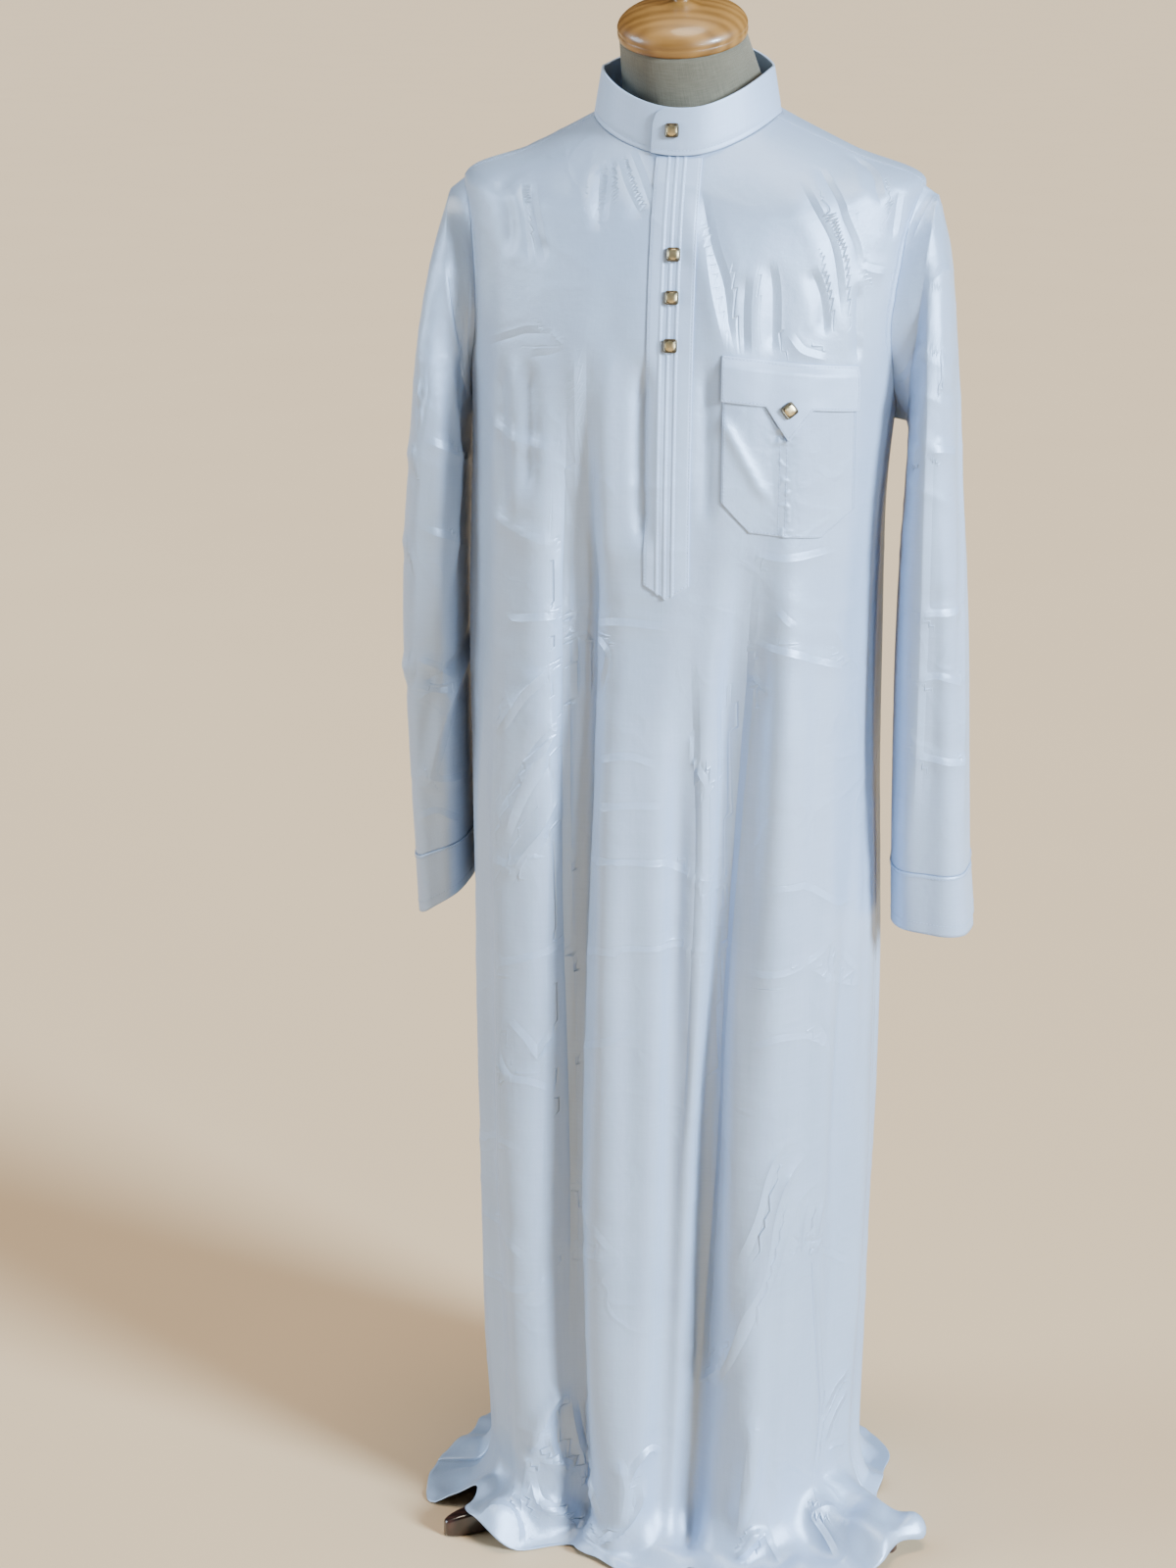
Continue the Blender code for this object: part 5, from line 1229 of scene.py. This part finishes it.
def placket_point(x, up, out=0.0):
    half = PLACKET_WIDTH / 2
    foot = PLACKET_TIP + (PLACKET_SHOULDER - PLACKET_TIP) * np.abs(x) / half
    z = foot + (PLACKET_TOP - foot) * up
    tucks = sum(np.exp(-(((x - tuck) / TUCK_WIDTH * 1.7) ** 4)) for tuck in TUCK_PLACES)
    wave = np.array([noise.noise(Vector((px * 60, pz * 42, 5.0))) for px, pz in zip(x, z)])
    edge = smooth_step(0, 0.0012, half - np.abs(x)) - 1
    groove = np.exp(-(((half - 0.0016 - np.abs(x)) / 0.0007) ** 2))
    lift = 0.0005 * wave * (1 - np.abs(x) / half) + TUCK_HEIGHT * tucks + 0.0005 * edge - 0.0004 * groove
    return on_front(x, z, SOFT_GAP + TRIM_WALL + lift + out)


def make_placket():
    """The front's button strip, with three tucks and a pointed foot, stitched at its edges."""
    half = PLACKET_WIDTH / 2
    piece = cloth(
        "placket_strip", lambda a, u: placket_point((a - 0.5) * PLACKET_WIDTH, u)[0], 84, 190, 0.042, 0.39,
        wall=TRIM_WALL
    )
    finish(piece, TRIM_SATIN, "stiffened_satin", "placket")
    threads = bmesh.new()
    up = np.linspace(0.006, 0.995, 220)
    lines = [-half + 0.0016, half - 0.0016] + [tuck + TUCK_WIDTH * 0.62 for tuck in TUCK_PLACES]
    for x in lines:
        points, normals = placket_point(np.full(220, x), up)
        stitch_line(threads, points, normals)
    foot = np.linspace(-half + 0.0016, half - 0.0016, 40)
    points, normals = placket_point(foot, np.full(40, 0.006))
    stitch_line(threads, points, normals)
    finish(new_piece("placket_stitches", threads), THREAD, "stiffened_satin")


def bag_point(across, up, out=0.0):
    """The pocket's bag, with its cut corners and the crinkled double line down its middle."""
    x = POCKET_MIDDLE + (across - 0.5) * POCKET_WIDTH
    from_side = np.minimum(across, 1 - across) * POCKET_WIDTH
    cut = np.clip(1 - from_side / POCKET_CHAMFER, 0, 1)
    foot = POCKET_BOTTOM + POCKET_CHAMFER * cut + 0.002 * np.abs(across - 0.5)
    z = foot + (POCKET_TOP - foot) * up - POCKET_SLOPE * (x - POCKET_MIDDLE)
    middle = POCKET_MIDDLE - 0.004 - 0.05 * (z - 1.14)
    pleat = np.exp(-(((x - middle) / 0.0042) ** 4))
    crinkle = np.array([noise.noise(Vector((px * 150, pz * 170, 2.0))) for px, pz in zip(x, z)])
    near = np.exp(-(((x - middle) / 0.008) ** 2)) * (1 - smooth_step(1.16, 1.18, z))
    slant = np.exp(-((((x - 0.074) + 0.55 * (z - 1.125)) / 0.007) ** 2))
    slant = slant * smooth_step(1.09, 1.11, z) * (1 - smooth_step(1.16, 1.18, z))
    fullness = BAG_FULLNESS * np.sin(math.pi * across) * up
    edge = smooth_step(0, 0.0016, np.minimum(from_side, (z - foot + 0.01))) - 1
    lobes = np.exp(-(((x - middle) / 0.010) ** 2)) * (1 - smooth_step(1.13, 1.17, z))
    lift = (0.0010 * pleat * (z < 1.19) + 0.0022 * crinkle * near + 0.0030 * slant
            - 0.0016 * lobes + 0.0004 * edge)
    return on_front(x, z, SOFT_GAP * 2 + WALL + fullness + np.maximum(lift, -0.0006) + out)


def flap_point(across, up, out=0.0):
    """The pointed flap. It leaves the front at its top seam and hangs over the bag's mouth."""
    x = POCKET_MIDDLE + (across - 0.5) * (POCKET_WIDTH + 0.003)
    point = np.clip(1 - np.abs(x - POCKET_MIDDLE) / (FLAP_POINT_WIDTH / 2), 0, 1)
    foot = FLAP_TOP - FLAP_DEPTH - FLAP_POINT * point
    z = foot + (FLAP_TOP - foot) * up
    over_bag = FLAP_CLEAR + WALL + BAG_FULLNESS * np.sin(math.pi * across)
    raised = over_bag * smooth_step(0, 1, (FLAP_TOP - z) / FLAP_RISE)
    wave = np.array([noise.noise(Vector((px * 45, pz * 60, 8.0))) for px, pz in zip(x, z)])
    z = z - POCKET_SLOPE * (x - POCKET_MIDDLE)
    lift = raised * (1 + 0.12 * wave)
    return on_front(x, z, SOFT_GAP + WALL + lift + out)


def make_pocket():
    bag = cloth("pocket_bag", lambda a, u: bag_point(a, u)[0], 110, 120, 0.116, 0.145)
    finish(bag, SATIN, "satin", "pocket")
    flap = cloth("pocket_flap_cloth", lambda a, u: flap_point(a, u)[0], 120, 56, 0.119, 0.071,
                 wall=TRIM_WALL)
    finish(flap, TRIM_SATIN, "stiffened_satin", "pocket_flap")
    threads = bmesh.new()
    up = np.linspace(0.012, 0.93, 90)
    for across in (0.018, 0.982, 0.447, 0.497):
        points, normals = bag_point(np.full(90, across), up)
        stitch_line(threads, points, normals)
    across = np.linspace(0.018, 0.982, 160)
    points, normals = bag_point(across, np.full(160, 0.014))
    stitch_line(threads, points, normals)
    for height in (0.05, 0.955):
        points, normals = flap_point(across, np.full(160, height))
        stitch_line(threads, points, normals)
    for side in (0.016, 0.984):
        points, normals = flap_point(np.full(60, side), np.linspace(0.05, 0.95, 60))
        stitch_line(threads, points, normals)
    finish(new_piece("pocket_stitches", threads), THREAD, "satin")


def button_outline(angle, radius):
    """A square with well-rounded corners, radius 1 at the middle of its sides."""
    c, s = np.cos(angle), np.sin(angle)
    reach = (np.abs(c) ** 5.5 + np.abs(s) ** 5.5) ** (-1 / 5.5)
    return radius * reach * c, radius * reach * s


# A button's profile from the middle of its back, round its rim, to the middle of its face
ButtonRing = namedtuple("ButtonRing", "radius height")
BUTTON_PROFILE = (
    ButtonRing(0.0, 0.0),
    ButtonRing(0.84, 0.0),
    ButtonRing(0.97, 0.14),
    ButtonRing(1.0, 0.42),
    ButtonRing(0.97, 0.74),
    ButtonRing(0.90, 0.86),
    ButtonRing(0.83, 0.82),
    ButtonRing(0.79, 0.70),
    ButtonRing(0.74, 0.78),
    ButtonRing(0.50, 0.93),
    ButtonRing(0.22, 0.99),
    ButtonRing(0.0, 1.0),
)
FACE_SHARE = 0.74


def make_button(name, node, place, normal, turn=0.0):
    """A rounded square button with a dark rim and a low, plain gold face."""
    normal = Vector(normal)
    across = (Vector((1, 0, 0)) - normal * normal.x).normalized()
    frame_matrix = Matrix((across, normal.cross(across), normal)).transposed() @ Matrix.Rotation(turn, 3,
                                                                                                 "Z")
    rings = range(len(BUTTON_PROFILE))

    def skin(around, up):
        k = up * (len(BUTTON_PROFILE) - 1)
        radius = np.interp(k, rings, [r.radius for r in BUTTON_PROFILE]) * BUTTON_SIDE / 2
        height = np.interp(k, rings, [r.height for r in BUTTON_PROFILE]) * BUTTON_THICK
        x, y = button_outline(around * 2 * math.pi, radius)
        local = np.stack([x, y, height], axis=1) @ np.array(frame_matrix).T
        return local + np.array(place)

    piece = new_piece(name, warped(skin, 48, (len(BUTTON_PROFILE) - 1) * 2, 0.04, 0.02, closed=True))
    finish(piece, (AGED_RIM, GOLD), "brass", node)
    for face in piece.data.polygons:
        offset = Vector(face.center) - Vector(place)
        flat = offset - normal * offset.dot(normal)
        on_face = flat.length < FACE_SHARE * BUTTON_SIDE / 2 and offset.dot(normal) > BUTTON_THICK / 2
        face.material_index = 1 if on_face else 0
    return piece


def make_buttons():
    on_strip = SOFT_GAP + TRIM_WALL + TUCK_HEIGHT + HARD_GAP
    for number, z in enumerate(PLACKET_BUTTONS, 1):
        points, normals = on_front(np.array([0.001]), np.array([z]), on_strip)
        node = f"button_placket_{number}"
        make_button(f"{node}_gold", node, points[0], normals[0])
    on_flap = SOFT_GAP + WALL + (FLAP_CLEAR + WALL + BAG_FULLNESS) + HARD_GAP
    flap_z = FLAP_TOP - FLAP_DEPTH - 0.001
    points, normals = on_front(np.array([POCKET_MIDDLE]), np.array([flap_z]), on_flap)
    make_button("button_pocket_gold", "button_pocket", points[0], normals[0], math.radians(38))
    base = Vector(body(np.array([-94.0]), np.array([float(NECK)]))[0])
    top = Vector((base.x, base.y, 0)) * (1 - COLLAR_TAPER) + Vector((0, 0, base.z))
    rise = (top + Vector(COLLAR_LEAN) * COLLAR_HEIGHT - base).normalized()
    out = Vector((base.x, base.y, 0)).normalized()
    out = (out - rise * out.dot(rise)).normalized()
    place = base + rise * COLLAR_BUTTON_RISE + out * COLLAR_BUTTON_OUT
    make_button("button_collar_gold", "button_collar", place, out)


def make_form():
    """The linen torso and neck, closed below by its board and above by the neck's tilted top."""
    rings = len(FORM) - 1
    tilt = np.array(Matrix.Rotation(NECK_TILT, 3, "X"))

    def skin(across, up):
        k = up * (rings + 3) - 1
        angle = across * 360 - 180
        ring = ring_form(angle, np.clip(k, 0, rings))
        ring[:, :2] *= np.clip(1 + k, 0, 1)[:, None]
        around = np.arctan2(ring[:, 1], ring[:, 0])
        radius = (CAP_RADIUS - 0.0015) * np.clip(rings + 2 - k, 0, 1)
        flat = np.stack([np.cos(around) * radius, np.sin(around) * radius, 0 * radius], axis=1)
        top = flat @ tilt.T + np.array(NECK_PLACE)
        share = np.clip(k - rings, 0, 1)[:, None]
        return ring + (top - ring) * share

    piece = new_piece("form_torso_linen", warped(skin, 128, 12 * (rings + 3), 1.0, 1.0, closed=True))
    finish(piece, LINEN, "linen", "form_torso")


def turned(profile, steps=96):
    """A piece turned about its axis: the profile runs down its outer side, from axis to axis."""
    bm = bmesh.new()
    points = [bm.verts.new((radius, 0, z)) for radius, z in profile]
    edges = [bm.edges.new(pair) for pair in zip(points, points[1:])]
    bmesh.ops.spin(
        bm, geom=points + edges, cent=(0, 0, 0), axis=(0, 0, 1), angle=2 * math.pi, steps=steps,
        use_merge=True
    )
    bmesh.ops.remove_doubles(bm, verts=bm.verts, dist=1e-5)
    bmesh.ops.recalc_face_normals(bm, faces=bm.faces)
    return bm


def make_cap():
    """The neck's wooden cap: a rim bead, a low dome and a small plain knob."""
    knob = np.array([(0.0, 0.054), (0.0065, 0.0525), (0.0100, 0.046), (0.0085, 0.039), (0.0070, 0.034),
                     (0.0125, 0.0305)])
    steps = np.linspace(0, len(knob) - 1, 26)
    curves = [smooth_curve(range(len(knob)), knob[:, k], steps) for k in (0, 1)]
    profile = [tuple(p) for p in np.stack(curves, axis=1)]
    for a in np.radians(np.linspace(18, 88, 24)):
        profile.append((CAP_RADIUS * math.sin(a), CAP_RIM + CAP_DOME * math.cos(a)))
    for a in np.radians(np.linspace(60, -90, 14)):
        bead = CAP_BEAD * (1.0 if a > 0 else CAP_BEAD_UNDER)
        profile.append((CAP_RADIUS - CAP_EDGE + CAP_EDGE * math.cos(a), CAP_RIM / 2 + bead * math.sin(a)))
    profile += [(CAP_RADIUS - 0.004, 0.0), (0.0, 0.0)]
    bm = turned(profile)
    normal = Matrix.Rotation(NECK_TILT, 3, "X") @ Vector((0, 0, 1))
    place = Matrix.Translation(Vector(NECK_PLACE) + normal * HARD_GAP) @ Matrix.Rotation(NECK_TILT, 4, "X")
    bmesh.ops.transform(bm, matrix=place, verts=bm.verts)
    finish(new_piece("form_neck_cap_wood", bm), CAP_WOOD, "varnished_wood", "form_neck_cap")


def make_stand():
    """The pole, the turned hub that it stands in, and three low legs round the hub."""
    top, bottom = FORM_BOTTOM - HARD_GAP, HUB_HEIGHT + HARD_GAP
    pole = [(0.0, top), (POLE_RADIUS, top), (POLE_RADIUS, bottom), (0.0, bottom)]
    piece = new_piece("stand_pole_wood", turned(pole, 64))
    finish(piece, DARK_WOOD, "dark_wood", "stand_pole")
    shoulder = HUB_HEIGHT - 0.012
    hub = [(0.0, HUB_HEIGHT), (0.019, HUB_HEIGHT), (0.021, HUB_HEIGHT - 0.0015), (0.026, shoulder)]
    hub += [(0.030, shoulder - 0.010), (0.0345, 0.043), (HUB_RADIUS, 0.040), (HUB_RADIUS, 0.0), (0.0, 0.0)]
    piece = new_piece("stand_hub_wood", turned(hub, 64))
    finish(piece, DARK_WOOD, "dark_wood", "stand_hub")
    for node, degrees in LEG_ANGLES.items():
        make_leg(node, degrees, SHORT_TOE if node == "stand_leg_left" else 0.0)


def make_leg(node, degrees, short):
    """A low leg that tapers from the hub to a rounded toe, flat below."""
    start = HUB_RADIUS + HARD_GAP
    bm = bmesh.new()
    bmesh.ops.create_cube(bm, size=1)
    long_edges = [edge for edge in bm.edges if abs(edge.verts[0].co.x - edge.verts[1].co.x) > 0.5]
    bmesh.ops.subdivide_edges(bm, edges=long_edges, cuts=39)
    for vert in bm.verts:
        share = vert.co.x + 0.5
        past = max(0.0, (share - TOE_START) / (1 - TOE_START))
        toe = math.sqrt(1 - 0.82 * past**2)
        height = (LEG_HEIGHT + 0.010 * (1 - share) ** 3) * (0.55 + 0.45 * toe)
        width = (LEG_WIDTH - 0.004 * share) * toe
        above = vert.co.z > 0
        y = vert.co.y * width * (LEG_TOP_SHARE if above else 1.0)
        vert.co = (start + (LEG_LENGTH - short) * share, y, height if above else 0.0)
    lengthways = [edge for edge in bm.edges if edge.calc_face_angle(0) > 1.0]
    bmesh.ops.bevel(
        bm, geom=lengthways, offset=0.0034, segments=3, profile=0.5, affect="EDGES", material=-1,
        clamp_overlap=True
    )
    bmesh.ops.transform(bm, matrix=Matrix.Rotation(math.radians(degrees), 4, "Z"), verts=bm.verts)
    finish(new_piece(f"{node}_wood", bm), DARK_WOOD, "dark_wood", node)


def make_seams():
    """Stitched lines on the body: the front's drawn seam, and both shoulders."""
    threads = bmesh.new()
    line = np.array([(-43, 3.60), (-41, 3.43), (-39, 3.26), (-35, 2.96), (-32, 2.66), (-35, 2.2),
                     (-40, 1.66)])
    steps = np.linspace(0, len(line) - 1, 120)
    angle, v = (smooth_curve(range(len(line)), line[:, k], steps) for k in (0, 1))
    stitch_line(threads, dressed(angle, v), body_skin(angle, v)[1])
    for wearers_left in (True, False):
        v = np.linspace(TIP + 0.05, NECK - 0.05, 90)
        turn = -4.0 if wearers_left else 4.0
        angle = edge_angle(v, "front", wearers_left) + turn * 0.35
        stitch_line(threads, dressed(angle, v), body_skin(angle, v)[1])
        v = np.linspace(ARMPIT + 0.7, TIP - 0.1, 120)
        angle = edge_angle(v, "front", wearers_left) + turn * 0.62
        stitch_line(threads, dressed(angle, v), body_skin(angle, v)[1])
    finish(new_piece("body_stitches", threads), THREAD, "satin")
    for side_name, rows, wearers_left, creases in SLEEVES:
        threads = bmesh.new()
        around = np.linspace(0, 2 * math.pi, 240)
        for section in (0.18, 0.95):
            v = np.full(240, section)
            points = sleeve_dressed(rows, wearers_left, around, v, creases,
                                    0.0010 - 0.0007 * (section < 0.9))
            stitch_line(threads, points, sleeve_skin(rows, wearers_left, around, v)[1])
        finish(new_piece(f"cuff_{side_name}_stitches", threads), THREAD, "satin")


def make_floor():
    bm = bmesh.new()
    bmesh.ops.create_grid(bm, x_segments=8, y_segments=8, size=60)
    floor = new_piece("studio_floor", bm)
    floor.data.materials.append(FLOOR_PAINT)


def make_camera():
    """The photograph's own view: from the front, a little to the wearer's left, looking down."""
    pitch, yaw = math.radians(17.29), math.radians(-9.5298)
    ahead = Vector((math.sin(yaw) * math.cos(pitch), math.cos(yaw) * math.cos(pitch), -math.sin(pitch)))
    right = Vector((math.cos(yaw), -math.sin(yaw), 0))
    place = Matrix((right, right.cross(ahead), -ahead)).transposed().to_4x4()
    place.translation = (0.36025, -2.73639, 1.636)
    camera = bpy.data.objects.new("camera", bpy.data.cameras.new("camera"))
    camera.matrix_world = place
    camera.data.sensor_fit = "VERTICAL"
    camera.data.sensor_height = 36
    camera.data.lens = 66.78
    bpy.context.scene.collection.objects.link(camera)
    bpy.context.scene.camera = camera


def make_sun(name, place, strength, softness, colour):
    """A distant soft light that shines from place towards the robe."""
    light = bpy.data.lights.new(name, "SUN")
    light.energy = strength
    light.angle = math.radians(softness)
    light.color = colour
    lamp = bpy.data.objects.new(name, light)
    lamp.rotation_euler = Vector(place).to_track_quat("Z", "Y").to_euler()
    lamp.location = place
    bpy.context.scene.collection.objects.link(lamp)


def make_spot(name, place, aim, strength, angle, colour):
    """A soft spot at place, turned towards the point aim."""
    light = bpy.data.lights.new(name, "SPOT")
    light.energy = strength
    light.spot_size = math.radians(angle)
    light.spot_blend = 1.0
    light.shadow_soft_size = 0.5
    light.color = colour
    lamp = bpy.data.objects.new(name, light)
    lamp.location = place
    lamp.rotation_euler = (Vector(place) - Vector(aim)).to_track_quat("Z", "Y").to_euler()
    bpy.context.scene.collection.objects.link(lamp)


def make_lights():
    make_sun("cool window, right", (2.45, -1.3, 1.1), 11.4, 16, (0.66, 0.83, 1.0))
    make_sun("cool window, left", (-2.6, -0.6, 0.9), 3.2, 26, (0.68, 0.84, 1.0))
    make_sun("warm ceiling", (0.1, -0.10, 3.0), 2.4, 24, (1.0, 0.88, 0.72))
    make_spot("left sleeve spot", (1.7, -1.9, 1.5), (0.36, -0.05, 1.04), 900, 13, (0.74, 0.88, 1.0))
    world = bpy.data.worlds.new("studio")
    world.use_nodes = True
    world.node_tree.nodes["Background"].inputs["Color"].default_value = (0.80, 0.88, 1.0, 1)
    world.node_tree.nodes["Background"].inputs["Strength"].default_value = 0.02
    bpy.context.scene.world = world


make_camera()
make_lights()
make_floor()
make_panels()
SLEEVES = (
    ("left", LEFT_SLEEVE, True, LEFT_CREASES),
    ("right", RIGHT_SLEEVE, False, RIGHT_CREASES),
)
for sleeve_side, sleeve_rows, on_left, sleeve_creases in SLEEVES:
    make_sleeve(sleeve_side, sleeve_rows, on_left, sleeve_creases)
make_collar()
make_placket()
make_pocket()
make_buttons()
make_form()
make_cap()
make_stand()
make_seams()
